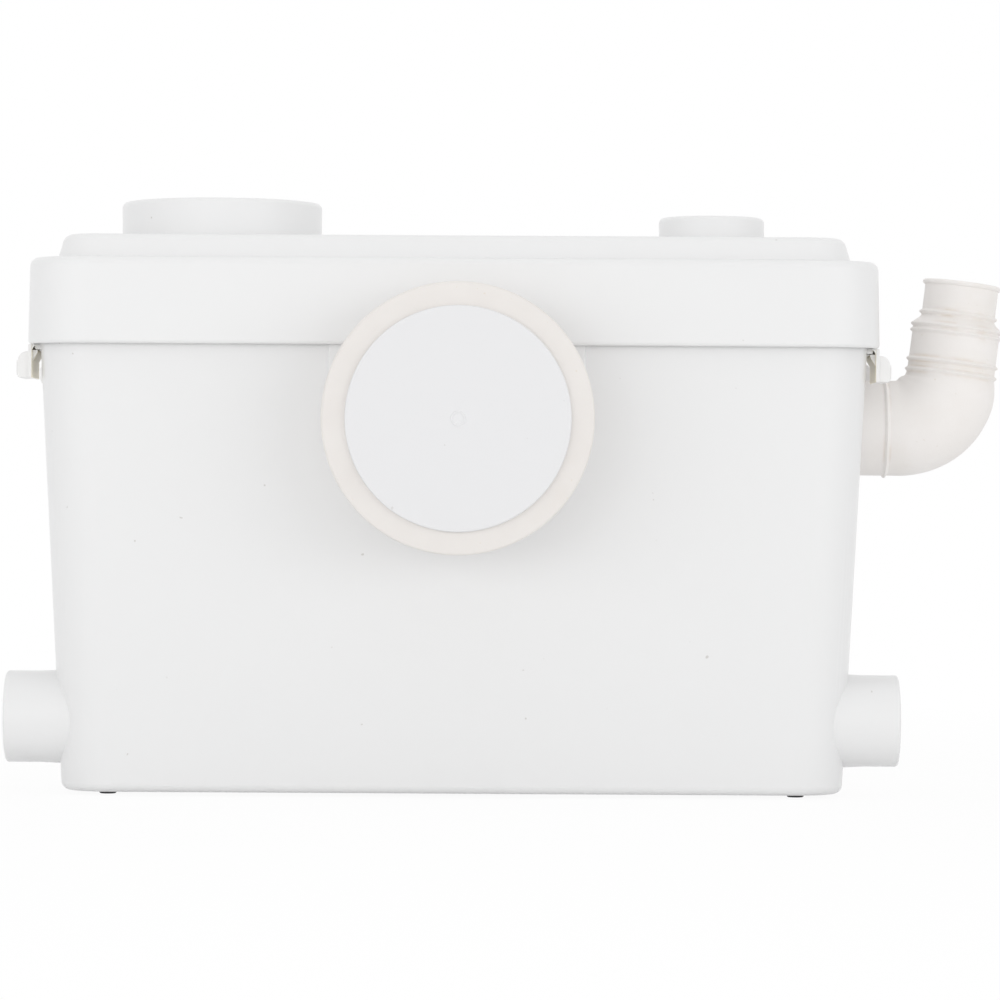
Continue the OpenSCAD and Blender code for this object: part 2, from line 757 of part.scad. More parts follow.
// Discharge pipe: the run is tangent to the outlet and ends under the riser
riser_x = tank_w / 2 - riser_inset;
run_reach = riser_x - pump_x;
run_angle = asin(outlet_offset / run_reach);
run_l = sqrt(run_reach * run_reach - outlet_offset * outlet_offset);
stub_start = sqrt(pump_r * pump_r - outlet_offset * outlet_offset);
pump_stub_end = stub_start + pump_stub_l;
pipe_bore_r = pipe_r - pipe_wall;

// Level switch
box_x = tank_w / 2 - box_inset_x;
box_y = box_inset_y - tank_d / 2;
box_top_z = under_z - box_cover_t;
box_z = box_top_z - box_h;
box_floor_z = box_z + box_wall;
dip_x = box_x + dip_dx;
dip_y = box_y + dip_dy;
membrane_z = box_floor_z + membrane_seat_h;
membrane_cover_z = membrane_z + membrane_t;
plunger_z = membrane_cover_z + plunger_gap;
cover_roof_z = membrane_cover_z + membrane_cover_h;
switch_z = cover_roof_z + switch_gap;
board_z = switch_z + switch_h;
clamp_r = membrane_r - clamp_rim;
board_hx = box_w / 2 - box_wall - board_fit;
board_hy = box_d / 2 - box_wall - board_fit;
screw_x = box_w / 2 - box_lug / 2;
screw_y = box_d / 2 + box_lug / 2 - lug_sink;
board_corner = box_corner - box_wall / 2;
post_x = board_hx - post_r;
post_y = board_hy - post_r;
cap_can_l = 2 * (post_x - post_r - cap_end_gap);
lead_y = box_y + lead_dy;
lead_z = top_cover_z + top_cover_t / 2;

// Cable gland
gland_x = tank_w / 2 - gland_inset;
gland_z = skirt_z - gland_drop;
gland_hex_r = gland_boss_r - gland_hex_inset;

// All is drawn about the tank's centre and moved to the part's frame here
module placed() {
    translate([tank_x, tank_y, 0])
        children();
}

module at_corners(hx, hy) {
    for (sx = [-1, 1], sy = [-1, 1])
        translate([sx * hx, sy * hy, 0])
            children();
}

// One thin level of a lofted block with round corners
module level(hx, hy, r, z) {
    at_corners(hx - r, hy - r)
        translate([0, 0, z])
            cylinder(r = r, h = skin, $fn = hull_fn);
}

// Flat outline with round corners
module round_plan(hx, hy, r) {
    square([2 * hx, 2 * (hy - r)], center = true);
    square([2 * (hx - r), 2 * hy], center = true);
    at_corners(hx - r, hy - r)
        circle(r = r);
}

// Tank-shaped block, set in from the outer faces and open upwards past the rim
module tank_block(inset, top_z) {
    bottom = base_z + inset;
    rounding = floor_round - inset / 2;
    corner = tank_corner - inset;
    hull() {
        for (a = [0 : 30 : 90]) {
            z = bottom + rounding * (1 - cos(a));
            trim = inset + rounding * (1 - sin(a));
            level(tank_hx(z) - trim, tank_hy(z) - trim, corner - trim + inset, z);
        }
        level(tank_hx(top_z) - inset, tank_hy(top_z) - inset, corner, top_z - skin);
    }
}

// Block with straight sides and a rounded upper edge
module crowned_block(hx, hy, corner, low_z, top_z, rounding) {
    hull()
        at_corners(hx - corner, hy - corner) {
            translate([0, 0, low_z])
                cylinder(r = corner, h = top_z - rounding - low_z, $fn = hull_fn);
            translate([0, 0, top_z - rounding])
                rotate_extrude($fn = hull_fn)
                    translate([corner - rounding, 0])
                        circle(r = rounding, $fn = hull_fn);
        }
}

// Cylinders along X and Y between two places on the axis
module rod_x(r, x0, x1) {
    translate([x0, 0, 0])
        rotate([0, 90, 0])
            cylinder(r = r, h = x1 - x0);
}

module rod_y(r, y0, y1) {
    translate([0, y1, 0])
        rotate([90, 0, 0])
            cylinder(r = r, h = y1 - y0);
}

module ring(r_out, r_in, h) {
    difference() {
        cylinder(r = r_out, h = h);
        translate([0, 0, -past])
            cylinder(r = r_in, h = h + 2 * past);
    }
}

module around(count, r) {
    for (i = [0 : count - 1])
        rotate([0, 0, (i + 0.5) * 360 / count])
            translate([r, 0, 0])
                children();
}

// Round bend that starts at the origin along +X and turns upwards
module up_bend(bend_r, r, turn) {
    translate([0, 0, bend_r])
        rotate([90, 90, 0])
            rotate_extrude(angle = turn)
                translate([bend_r, 0])
                    circle(r = r);
}

// Short core that joins a straight tube to a bend, inside both
module bend_core(r) {
    rod_x(r - joint_step, -past, past);
}

module at_pump(z) {
    translate([pump_x, 0, z])
        children();
}

module at_inlet() {
    translate([inlet_x, 0, inlet_z])
        children();
}

// Right side as drawn, left side as its mirror image
module on_side(side) {
    if (side > 0)
        children();
    else
        mirror([1, 0, 0])
            children();
}

module at_stub() {
    translate([0, stub_y, stub_z])
        children();
}

module at_outlet() {
    translate([0, 0, outlet_z])
        children();
}

// Frame of the pipe's run: the riser stands at its origin, the run comes along +X
module at_run() {
    translate([riser_x, 0, pump_axis_z])
        rotate([0, 0, -run_angle])
            children();
}

// Housing

module stub_body() {
    rotate([0, 90, 0])
        rotate_extrude() {
            square([stub_r, stub_end - stub_round]);
            square([stub_r - stub_round, stub_end]);
            square([stub_r + root_step, root_x]);
            translate([stub_r - stub_round, stub_end - stub_round])
                circle(r = stub_round);
        }
}

module tank_lugs() {
    for (side = [-1, 1], end = [-1, 1])
        on_side(side)
            translate([tank_hx(lug_z) - tank_wall, end * clip_y - lug_w / 2, lug_z])
                cube([lug_x - tank_hx(lug_z) + tank_wall, lug_w, lug_h]);
}

module tank_body() {
    tank_block(0, rim_z);
    tank_lugs();
    for (side = [-1, 1])
        on_side(side)
            at_stub()
                intersection() {
                    stub_body();
                    rod_x(2 * stub_r, tank_hx(stub_z) - tank_corner, stub_end);
                }
    at_inlet()
        rod_y(pad_r, -pad_y, -tank_hy(inlet_z) + tank_wall + past);
    translate([inlet_x - pad_r, -pad_y, inlet_z])
        cube([2 * pad_r, tank_wall, rim_z - inlet_z]);
    at_outlet()
        rod_x(elbow_r, outlet_wall_x - tank_wall, boss_out_x);
    translate([gland_x, 0, gland_z])
        rod_y(gland_boss_r, tank_hy(gland_z) - tank_wall, tank_hy(gland_z) + gland_boss_out);
}

module tank() {
    color(white) placed() difference() {
        union() {
            difference() {
                tank_body();
                tank_block(tank_wall, rim_z + past);
            }
            at_outlet()
                rod_x(flange_r, boss_face_x, outlet_wall_x - tank_wall / 2);
        }
        at_outlet()
            rod_x(spigot_r + socket_fit, boss_face_x - past, boss_out_x + past);
        at_inlet()
            rod_y(collar_r + collar_fit, -pad_y - past, tail_y);
        for (side = [-1, 1])
            on_side(side)
                at_stub()
                    rod_x(stub_bore_r, tank_hx(stub_z) - tank_corner, stub_end + past);
        translate([gland_x, 0, gland_z])
            rod_y(gland_r + gland_fit, 0, lid_hy + gland_boss_out);
        at_corners(foot_x, foot_y)
            translate([0, 0, base_z - past])
                cylinder(r = foot_peg_r, h = foot_peg_l + past);
    }
}

module feet() {
    color(black) placed() at_corners(foot_x, foot_y) {
        cylinder(r1 = foot_r - foot_taper, r2 = foot_r, h = foot_drop);
        translate([0, 0, foot_drop - past])
            cylinder(r = foot_peg_r - press_play, h = foot_peg_l + past);
    }
}

module lid() {
    color(white) placed() difference() {
        union() {
            difference() {
                union() {
                    crowned_block(lid_hx, lid_hy, lid_corner, skirt_z, step_z, skirt_round);
                    crowned_block(crown_hx, crown_hy, crown_corner, ledge_z, crown_z, crown_round);
                }
                lid_hollow();
            }
            at_pump(under_z)
                cylinder(r = motor_ring_r, h = lid_wall + ring_h);
            translate([vent_x, 0, under_z])
                cylinder(r = vent_ring_r, h = lid_wall + ring_h);
            translate([box_x, box_y, box_top_z])
                at_corners(screw_x, screw_y)
                    cylinder(r = box_lug / 2 - lug_sink, h = box_cover_t + past);
        }
        at_pump(crown_z)
            cylinder(r = motor_ring_r - ring_wall, h = ring_h + past);
        at_pump(under_z - past)
            cylinder(r = boot_hole_r, h = lid_wall + 2 * past);
        translate([vent_x, 0, crown_z])
            cylinder(r = vent_ring_r - ring_wall, h = ring_h + past);
        translate([vent_x, 0, under_z - past])
            cylinder(r = vent_hole_r, h = lid_wall + 2 * past);
        at_inlet()
            rod_y(arch_r, -lid_hy - past, -pad_y);
        translate([box_x, box_y, box_top_z - past])
            at_corners(screw_x, screw_y)
                cylinder(r = box_screw_r + press_play, h = box_cover_t + 2 * past);
    }
}

module lid_hollow() {
    crowned_block(
        lid_hx - lid_wall, lid_hy - lid_wall, lid_corner - lid_wall,
        skirt_z - past, ledge_z, hollow_round
    );
    crowned_block(
        crown_hx - lid_wall, crown_hy - lid_wall, crown_corner - lid_wall,
        skirt_z, under_z, crown_round - lid_wall / 2
    );
}

module lid_seal() {
    outer = seal_inset;
    inner = tank_wall - seal_inset;
    color(black) placed() translate([0, 0, rim_z]) linear_extrude(seal_h) difference() {
        round_plan(tank_hx(rim_z) - outer, tank_hy(rim_z) - outer, tank_corner - outer);
        round_plan(tank_hx(rim_z) - inner, tank_hy(rim_z) - inner, tank_corner - inner);
    }
}

// Blade, grooved grip and barb of one lid clip, drawn on the right side
module clip(side, end) {
    groove_step = grip_w / grip_grooves;
    grip_low = clip_h - grip_top - grip_out / 2;
    color(white) placed() on_side(side) translate([lid_hx, end * clip_y, skirt_z]) difference() {
        union() {
            translate([-clip_t, -clip_w / 2, -clip_h])
                cube([clip_t, clip_w, clip_h - clip_gap]);
            translate([-clip_t / 2, -grip_w / 2, -clip_h])
                cube([clip_t / 2 + grip_out, grip_w, grip_low]);
            translate([-clip_t / 2, -grip_w / 2, -clip_h])
                cube([clip_t / 2 + grip_out / 2, grip_w, clip_h - grip_top]);
            translate([grip_out / 2, 0, -grip_top - grip_out / 2])
                rod_y(grip_out / 2, -grip_w / 2, grip_w / 2);
            translate([-clip_t, lug_w / 2, -barb_drop])
                rotate([90, 0, 0])
                    linear_extrude(lug_w)
                        polygon([[0, 0], [-barb_reach, 0], [-barb_reach, -barb_nose], [0, -barb_h]]);
        }
        for (i = [1 : grip_grooves - 1])
            translate([grip_out, -grip_w / 2 + i * groove_step, -clip_h - past])
                cylinder(r = groove_r, h = clip_h + past);
    }
}

module clip_front_left() clip(-1, -1);
module clip_front_right() clip(1, -1);
module clip_rear_left() clip(-1, 1);
module clip_rear_right() clip(1, 1);

module round_cap(r, h) {
    difference() {
        rotate_extrude() {
            square([r - cap_round, h]);
            square([r, h - cap_round]);
            translate([r - cap_round, h - cap_round])
                circle(r = cap_round);
        }
        translate([0, 0, -past])
            cylinder(r = r - cap_wall, h = h - cap_wall + past);
    }
}

module motor_cap() {
    color(white) placed() at_pump(crown_z) round_cap(motor_cap_r, motor_cap_h);
}

module vent_cap() {
    color(white) placed() translate([vent_x, 0, crown_z]) round_cap(vent_cap_r, vent_cap_h);
}

module carbon_filter() {
    color(black) placed() translate([vent_x, 0, crown_z])
        cylinder(r = vent_ring_r - ring_wall - filter_fit, h = filter_h);
}

// Pan inlet

// Collar's section: radius to the right, distance back from the lip upwards
module collar_section() {
    tail = tail_y - lip_y;
    difference() {
        union() {
            square([collar_r, tail]);
            translate([0, lip_round])
                square([lip_r, lip_l - 2 * lip_round]);
            square([lip_r - lip_round, lip_l]);
            for (y = [lip_round, lip_l - lip_round])
                translate([lip_r - lip_round, y])
                    circle(r = lip_round);
        }
        translate([0, -past])
            square([collar_bore_r, tail + 2 * past]);
        translate([0, -past])
            square([mouth_r, mouth_l + past]);
        translate([0, collar_reach - relief_gap])
            square([mouth_r, tail]);
    }
}

module inlet_collar() {
    color(cream) placed() at_inlet() translate([0, lip_y, 0]) rotate([-90, 0, 0])
        rotate_extrude()
            collar_section();
}

module inlet_blank() {
    plug_r = mouth_r - plug_fit;
    color(disc_white) placed() at_inlet() {
        rod_y(blank_r, lip_y - blank_t, lip_y);
        difference() {
            rod_y(plug_r, lip_y - blank_t / 2, lip_y + plug_l);
            rod_y(plug_r - plug_wall, lip_y, lip_y + plug_l + past);
        }
    }
}

// Funnel from the collar's tail to the basket's mouth, set in for its hollow
module chute_funnel(inset) {
    half = mouth_half - chute_fit - inset;
    low_z = basket_z + mouth_low + chute_fit + inset;
    high = mouth_h - 2 * chute_fit - 2 * inset;
    hull() {
        at_inlet()
            translate([0, tail_y + past, 0])
                rotate([90, 0, 0])
                    cylinder(r = collar_r - inset, h = past + inset / 2, $fn = hull_fn);
        translate([pump_x + pump_r + past - inset / 2, -half, low_z])
            cube([past, 2 * half, high]);
    }
}

// Short straight throat that enters the basket's mouth
module chute_throat(inset) {
    half = mouth_half - chute_fit - inset;
    low_z = basket_z + mouth_low + chute_fit + inset;
    high = mouth_h - 2 * chute_fit - 2 * inset;
    translate([pump_x, -half, low_z])
        cube([pump_r + 1.5 * past + inset / 4, 2 * half, high]);
}

module waste_chute() {
    color(grey) placed() difference() {
        union() {
            chute_funnel(0);
            chute_throat(0);
            at_inlet()
                rod_y(collar_r + chute_fit + chute_wall, tail_y - chute_ring_l, tail_y + past);
        }
        chute_funnel(chute_wall);
        chute_throat(chute_wall);
        at_inlet()
            rod_y(collar_r + chute_fit, tail_y - chute_ring_l - past, tail_y);
        at_pump(0)
            cylinder(r = pump_r - basket_wall, h = flange_z);
    }
}

// Side inlet valves

module valve_ring(side) {
    color(grey) placed() on_side(side) at_stub() difference() {
        union() {
            rod_x(stub_bore_r - valve_ring_fit, seat_x, seat_x + valve_ring_l);
            for (end = [-1, 1])
                translate([seat_x, end * ear_y, flap_pin_z]) {
                    translate([-flap_gap - flap_t / 2, 0, 0])
                        rod_y(ear_r, -ear_t / 2, ear_t / 2);
                    translate([-flap_gap - flap_t / 2, -ear_t / 2, -ear_r])
                        cube([flap_gap + flap_t / 2 + past, ear_t, 2 * ear_r]);
                }
        }
        rod_x(valve_ring_bore, seat_x - past, seat_x + valve_ring_l + past);
        translate([seat_x - flap_gap - flap_t / 2, 0, flap_pin_z])
            rod_y(flap_pin_r + flap_play, -2 * ear_y, 2 * ear_y);
    }
}

module left_valve_ring() valve_ring(-1);
module right_valve_ring() valve_ring(1);

// Round flap on a hinge pin, hanging from the pin at the origin of its own plane
module flap_leaf(r) {
    pin_half = ear_y + ear_t / 2;
    hub_half = ear_y - ear_t / 2 - flap_gap;
    difference() {
        rod_x(r, -flap_t / 2, flap_t / 2);
        for (end = [-1, 1])
            translate([-flap_t, end * ear_y - ear_t / 2 - flap_gap, r - 2 * ear_r])
                cube([2 * flap_t, ear_t + 2 * flap_gap, 3 * ear_r]);
    }
    translate([0, 0, r + flap_pin_r]) {
        rod_y(flap_pin_r, -pin_half, pin_half);
        translate([-flap_t / 2, -hub_half, -3 * flap_pin_r])
            cube([flap_t, 2 * hub_half, 3 * flap_pin_r]);
    }
}

module side_flap(side) {
    color(black) placed() on_side(side) at_stub()
        translate([seat_x - flap_gap - flap_t / 2, 0, 0])
            flap_leaf(flap_r);
}

module left_flap() side_flap(-1);
module right_flap() side_flap(1);

// Discharge outlet

module outlet_valve() {
    pin_x = chamber_x + flap_gap + flap_t / 2;
    flange_x = flange_face_x - flange_t;
    color(grey) placed() at_outlet() difference() {
        union() {
            rod_x(pipe_r + socket_fit + chamber_wall, socket_x, chamber_x);
            rod_x(chamber_r + chamber_wall, chamber_x - seat_t, flange_x + flange_t / 2);
            rod_x(flange_r, flange_x, flange_face_x);
            rod_x(spigot_r, flange_x, spigot_end_x);
        }
        rod_x(pipe_r + socket_fit, socket_x - past, socket_x + socket_l);
        rod_x(seat_bore_r, socket_x, chamber_x + past);
        difference() {
            rod_x(chamber_r, chamber_x, chamber_x + chamber_l);
            for (end = [-1, 1])
                translate([chamber_x - past, end * ear_y - ear_t / 2, check_pin_z - ear_r])
                    cube([past + flap_gap + flap_t / 2 + ear_r, ear_t, 2 * ear_r + chamber_r]);
        }
        rod_x(spigot_bore_r, chamber_x + chamber_l - past, spigot_end_x + past);
        translate([pin_x, 0, check_pin_z])
            rod_y(flap_pin_r + flap_play, -ear_y - ear_t, ear_y + ear_t);
    }
}

module valve_gasket() {
    color(black) placed() at_outlet() difference() {
        rod_x(flange_r - gasket_inset, flange_face_x, boss_face_x);
        rod_x(spigot_r + socket_fit, flange_face_x - past, boss_face_x + past);
    }
}

module check_flap() {
    color(black) placed() at_outlet()
        translate([chamber_x + flap_gap + flap_t / 2, 0, 0])
            flap_leaf(check_r);
}

// Elbow's upper section: radius to the right, distance from the bend upwards
module elbow_section() {
    polygon([
        [0, -past], [sleeve_r, -past], [sleeve_r, sleeve_l], [neck_r, neck_s],
        [neck_r, neck_end_s], [0, neck_end_s]
    ]);
    for (i = [0, 1]) {
        bead_at(sleeve_r, rib_s + i * rib_step);
        bead_at(sleeve_r, sleeve_l - sleeve_bead_s - i * sleeve_bead_step);
    }
    bead_at(neck_r, neck_s + neck_bead_s);
    bead_at(neck_r + rim_out, neck_end_s - bead_r);
}

module bead_at(r, s) {
    translate([r + bead_out - bead_r, s])
        circle(r = bead_r);
}

// Direction and place of the elbow's upper end
module at_elbow_end() {
    translate([bend_x, 0, elbow_bend_r])
        rotate([0, -elbow_turn, 0])
            translate([0, 0, -elbow_bend_r])
                rotate([0, 90, 0])
                    children();
}

module discharge_elbow() {
    color(cream) placed() at_outlet() difference() {
        union() {
            rotate([0, 90, 0])
                rotate_extrude() {
                    translate([0, elbow_x])
                        square([elbow_r, bend_x - elbow_x]);
                    bead_at(elbow_r, bend_x - leg_bead_s);
                }
            translate([bend_x, 0, 0]) {
                bend_core(elbow_r);
                up_bend(elbow_bend_r, elbow_r, elbow_turn);
            }
            at_elbow_end()
                rotate_extrude()
                    elbow_section();
        }
        rod_x(spigot_r + elbow_play, elbow_x - past, spigot_end_x + elbow_gap);
        rod_x(elbow_bore_r, elbow_x, bend_x);
        translate([bend_x, 0, 0]) {
            bend_core(elbow_bore_r);
            up_bend(elbow_bend_r, elbow_bore_r, elbow_turn);
        }
        at_elbow_end()
            translate([0, 0, -past / 2])
                cylinder(r = outlet_bore_r, h = neck_end_s + 2 * past);
    }
}

// Line of the discharge pipe, drawn solid; over lengthens its two ends
module pipe_line(r, over) {
    top = outlet_z - pump_axis_z;
    pipe_end_x = socket_x + socket_l - pipe_end_gap;
    at_run() {
        rod_x(r, pump_stub_end - pipe_lap - run_l - over, -pipe_bend_r);
        translate([-pipe_bend_r, 0, 0]) {
            bend_core(r);
            up_bend(pipe_bend_r, r, 90);
        }
        translate([0, 0, pipe_bend_r])
            cylinder(r = r, h = top - 2 * pipe_bend_r);
        for (z = [pipe_bend_r, top - pipe_bend_r])
            translate([0, 0, z])
                rotate([0, 90, 0])
                    bend_core(r);
    }
    translate([riser_x + pipe_bend_r, 0, outlet_z]) {
        bend_core(r);
        mirror([1, 0, 0])
            mirror([0, 0, 1])
                up_bend(pipe_bend_r, r, 90);
        rod_x(r, 0, pipe_end_x - riser_x - pipe_bend_r + over);
    }
}

module discharge_pipe() {
    color(grey) placed() difference() {
        union() {
            pipe_line(pipe_r, 0);
            translate([riser_x, 0, outlet_z - pipe_bend_r - coupling_l + past])
                cylinder(r = pipe_r + coupling_wall, h = coupling_l);
        }
        pipe_line(pipe_bore_r, past);
    }
}

// Pump

module pump_mounts() {
    color(black) placed() at_pump(floor_z)
        around(4, mount_pcd_r)
            cylinder(r = mount_r, h = mount_h);
}

module volute() {
    color(grey) placed() difference() {
        union() {
            at_pump(volute_z)
                cylinder(r = pump_r, h = volute_h);
            at_run()
                rod_x(pump_stub_r, -run_l, pump_stub_end - run_l);
        }
        at_pump(chamber_z)
            cylinder(r = volute_bore_r, h = volute_h);
        at_pump(volute_z - past)
            cylinder(r = eye_r, h = volute_floor + 2 * past);
        at_run()
            rod_x(pump_stub_bore, -run_l, pump_stub_end - run_l + past);
        at_pump(cover_z)
            pump_screw_holes();
    }
}

module pump_screw_holes() {
    around(4, pump_screw_pcd_r)
        translate([0, 0, -pump_screw_l])
            cylinder(r = pump_screw_r + press_play, h = pump_screw_l + cover_t + past);
}

module volute_cover() {
    color(grey) placed() at_pump(cover_z) difference() {
        cylinder(r = pump_r, h = cover_t);
        translate([0, 0, -past])
            cylinder(r = seal_r, h = cover_t + 2 * past);
        pump_screw_holes();
    }
}

module pump_screws() {
    color(steel) placed() at_pump(cover_z) around(4, pump_screw_pcd_r) {
        translate([0, 0, -pump_screw_l + past])
            cylinder(r = pump_screw_r, h = pump_screw_l + cover_t - past);
        translate([0, 0, cover_t])
            cylinder(r = pump_screw_head_r, h = pump_screw_head_h);
    }
}

module impeller() {
    color(black) placed() at_pump(0) difference() {
        union() {
            translate([0, 0, impeller_low_z])
                cylinder(r = impeller_hub_r, h = impeller_top_z - impeller_low_z);
            translate([0, 0, impeller_top_z - impeller_plate])
                cylinder(r = impeller_r, h = impeller_plate);
            for (i = [0 : vane_count - 1])
                rotate([0, 0, i * 360 / vane_count])
                    translate([impeller_hub_r - past, -vane_t / 2, impeller_low_z])
                        cube([impeller_r - impeller_hub_r, vane_t, impeller_top_z - impeller_low_z - past]);
        }
        cylinder(r = shaft_r + press_play, h = cover_z);
    }
}

module impeller_nut() {
    color(steel) placed() at_pump(shaft_low_z)
        difference() {
            cylinder(r = shaft_r + nut_wall, h = impeller_low_z - shaft_low_z, $fn = 6);
            translate([0, 0, -past])
                cylinder(r = shaft_r + press_play, h = cover_z);
        }
}

module seal_seat() {
    color(grey) placed() at_pump(cover_z) ring(seal_r - press_play, shaft_r + seal_play, cover_t);
}

module seal_ring() {
    color(black) placed() at_pump(basket_z + seal_gap)
        ring(seal_r - seal_step, shaft_r + press_play, seal_l);
}

module basket() {
    color(grey) placed() at_pump(basket_z) difference() {
        ring(pump_r, pump_r - basket_wall, basket_h);
        for (i = [0 : slot_count - 1])
            rotate([0, 0, (i + 0.5) * 360 / slot_count])
                translate([-pump_r - past, -slot_w / 2, (basket_h - slot_h) / 2])
                    cube([basket_wall + 3 * past, slot_w, slot_h]);
        translate([0, -mouth_half, mouth_low])
            cube([pump_r + past, 2 * mouth_half, mouth_h]);
    }
}

module cutter() {
    color(steel) placed() at_pump(basket_z + cutter_low) difference() {
        union() {
            cylinder(r = cutter_hub_r, h = cutter_hub_h);
            for (i = [0, 1])
                rotate([0, 0, i * 180]) {
                    translate([0, -arm_w / 2, 0])
                        cube([cutter_r - tip_inset, arm_w, blade_t]);
                    translate([cutter_r - tip_inset - tip_w, -arm_w / 2, 0])
                        cube([tip_w, blade_t, cutter_hub_h - tip_drop]);
                }
        }
        translate([0, 0, -past])
            cylinder(r = shaft_r + press_play, h = cutter_hub_h + 2 * past);
    }
}

// Motor

module motor_flange() {
    color(grey) placed() at_pump(flange_z) difference() {
        union() {
            cylinder(r = pump_r, h = motor_flange_t);
            cylinder(r = hub_r, h = motor_flange_t + hub_h);
        }
        translate([0, 0, -past])
            cylinder(r = shaft_r + shaft_clear, h = motor_flange_t + past);
        translate([0, 0, lower_bearing_z - flange_z])
            cylinder(r = bearing_r, h = bearing_w + past);
        translate([0, 0, -past])
            around(4, tie_pcd_r)
                cylinder(r = tie_r + press_play, h = motor_flange_t + 2 * past);
    }
}

module motor_can() {
    color(steel) placed() at_pump(can_z) ring(can_r, can_r - can_wall, top_cover_z - can_z);
}

module motor_top_cover() {
    color(grey) placed() at_pump(top_cover_z) difference() {
        union() {
            cylinder(r = pump_r, h = top_cover_t);
            cylinder(r = motor_neck_r, h = neck_top_z - top_cover_z);
        }
        translate([0, 0, top_cover_t + bearing_w])
            cylinder(r = motor_neck_r - motor_neck_wall, h = neck_top_z);
        translate([0, 0, top_cover_t])
            ring(motor_neck_r - motor_neck_wall, hub_r, bearing_w + past);
        translate([0, 0, top_cover_t])
            cylinder(r = bearing_r, h = bearing_w + past);
        translate([0, 0, -past])
            cylinder(r = shaft_r + shaft_clear, h = top_cover_t + 2 * past);
        translate([0, 0, -past])
            around(4, tie_pcd_r)
                cylinder(r = tie_r + press_play, h = top_cover_t + 2 * past);
    }
}

module motor_boot() {
    color(black) placed() at_pump(under_z - boot_t) difference() {
        union() {
            cylinder(r = boot_hole_r + boot_lap, h = boot_t);
            cylinder(r = boot_hole_r - boot_fit, h = lid_wall + 2 * boot_t);
            translate([0, 0, boot_t + lid_wall])
                cylinder(r = boot_hole_r + boot_lap, h = boot_t);
        }
        translate([0, 0, -past])
            cylinder(r = motor_neck_r + boot_fit, h = lid_wall + 2 * boot_t + 2 * past);
    }
}

module tie_rods() {
    top = top_cover_z + top_cover_t;
    color(steel) placed() around_motor() {
        translate([0, 0, flange_z])
            cylinder(r = tie_r, h = top - flange_z);
        translate([0, 0, top])
            cylinder(r = tie_head_r, h = tie_head_h);
    }
}

module around_motor() {
    at_pump(0)
        around(4, tie_pcd_r)
            children();
}

module bearing(z) {
    color(steel) placed() at_pump(z) ring(bearing_r - press_play, shaft_r + press_play, bearing_w);
}

module lower_bearing() bearing(lower_bearing_z);
module upper_bearing() bearing(top_cover_z + top_cover_t);

module stator_core() {
    color(steel) placed() at_pump(stator_z)
        ring(can_r - can_wall - press_play, rotor_r + air_gap, stator_h);
}

module stator_windings() {
    color(copper) placed() at_pump(0)
        for (z = [stator_z - winding_h, stator_z + stator_h])
            translate([0, 0, z])
                ring(can_r - can_wall - winding_inset, rotor_r + air_gap + winding_inset, winding_h);
}

module rotor_core() {
    color(steel) placed() at_pump(stator_z - rotor_over)
        ring(rotor_r, shaft_r + press_play, stator_h + 2 * rotor_over);
}

module motor_shaft() {
    color(steel) placed() at_pump(shaft_low_z) cylinder(r = shaft_r, h = shaft_top_z - shaft_low_z);
}

// Level switch

module control_box() {
    color(grey) placed() difference() {
        union() {
            translate([box_x, box_y, box_z])
                linear_extrude(box_h)
                    round_plan(box_w / 2, box_d / 2, box_corner);
            translate([box_x, box_y, box_top_z - box_lug_t])
                linear_extrude(box_lug_t)
                    at_corners(screw_x, box_d / 2)
                        square([box_lug, 2 * (box_lug - lug_sink)], center = true);
            translate([dip_x, dip_y, box_z - dip_socket_l])
                cylinder(r = dip_r + socket_fit + box_wall, h = dip_socket_l + past);
        }
        difference() {
            translate([box_x, box_y, box_floor_z])
                linear_extrude(box_h)
                    round_plan(box_w / 2 - box_wall, box_d / 2 - box_wall, board_corner);
            translate([dip_x, dip_y, box_floor_z])
                ring(membrane_r + seat_margin, clamp_r, membrane_seat_h);
            translate([box_x, box_y, box_floor_z])
                at_corners(post_x, post_y)
                    cylinder(r = post_r, h = board_z - box_floor_z);
        }
        translate([dip_x, dip_y, box_z - dip_socket_l - past])
            cylinder(r = dip_r + socket_fit, h = dip_socket_l + past);
        translate([dip_x, dip_y, box_z - past])
            cylinder(r = dip_r - dip_wall, h = box_wall + 2 * past);
        translate([box_x, box_y, box_top_z - box_lug_t - past])
            at_corners(screw_x, screw_y)
                cylinder(r = box_screw_r + press_play, h = box_lug_t + 2 * past);
        translate([box_x - box_w / 2, lead_y, lead_z])
            rod_x(lead_r + socket_fit, -past, box_wall + past);
    }
}

// Motor lead: a straight run from the motor's top cover into the control box
module motor_lead() {
    reach = sqrt(pump_r * pump_r - lead_y * lead_y);
    color(black) placed() translate([0, lead_y, lead_z])
        rod_x(lead_r, pump_x + reach + lead_gap, box_x - box_w / 2 + box_wall);
}

module box_cover() {
    color(grey) placed() translate([box_x, box_y, box_top_z])
        linear_extrude(box_cover_t)
            round_plan(box_w / 2, box_d / 2, box_corner);
}

module box_screws() {
    color(steel) placed() translate([box_x, box_y, box_top_z - box_lug_t]) at_corners(screw_x, screw_y) {
        cylinder(r = box_screw_r, h = box_lug_t + box_cover_t);
        translate([0, 0, -box_screw_head_h])
            cylinder(r = box_screw_head_r, h = box_screw_head_h);
    }
}

module circuit_board() {
    color("green") placed() translate([box_x, box_y, board_z])
        linear_extrude(board_t)
            round_plan(board_hx, board_hy, board_corner);
}

module capacitor() {
    y = box_y + box_d / 2 - box_wall - cap_can_r - cap_side_gap;
    color("silver") placed() translate([box_x, y, box_floor_z + cap_can_r + cap_floor_gap])
        rod_x(cap_can_r, -cap_can_l / 2, cap_can_l / 2);
}

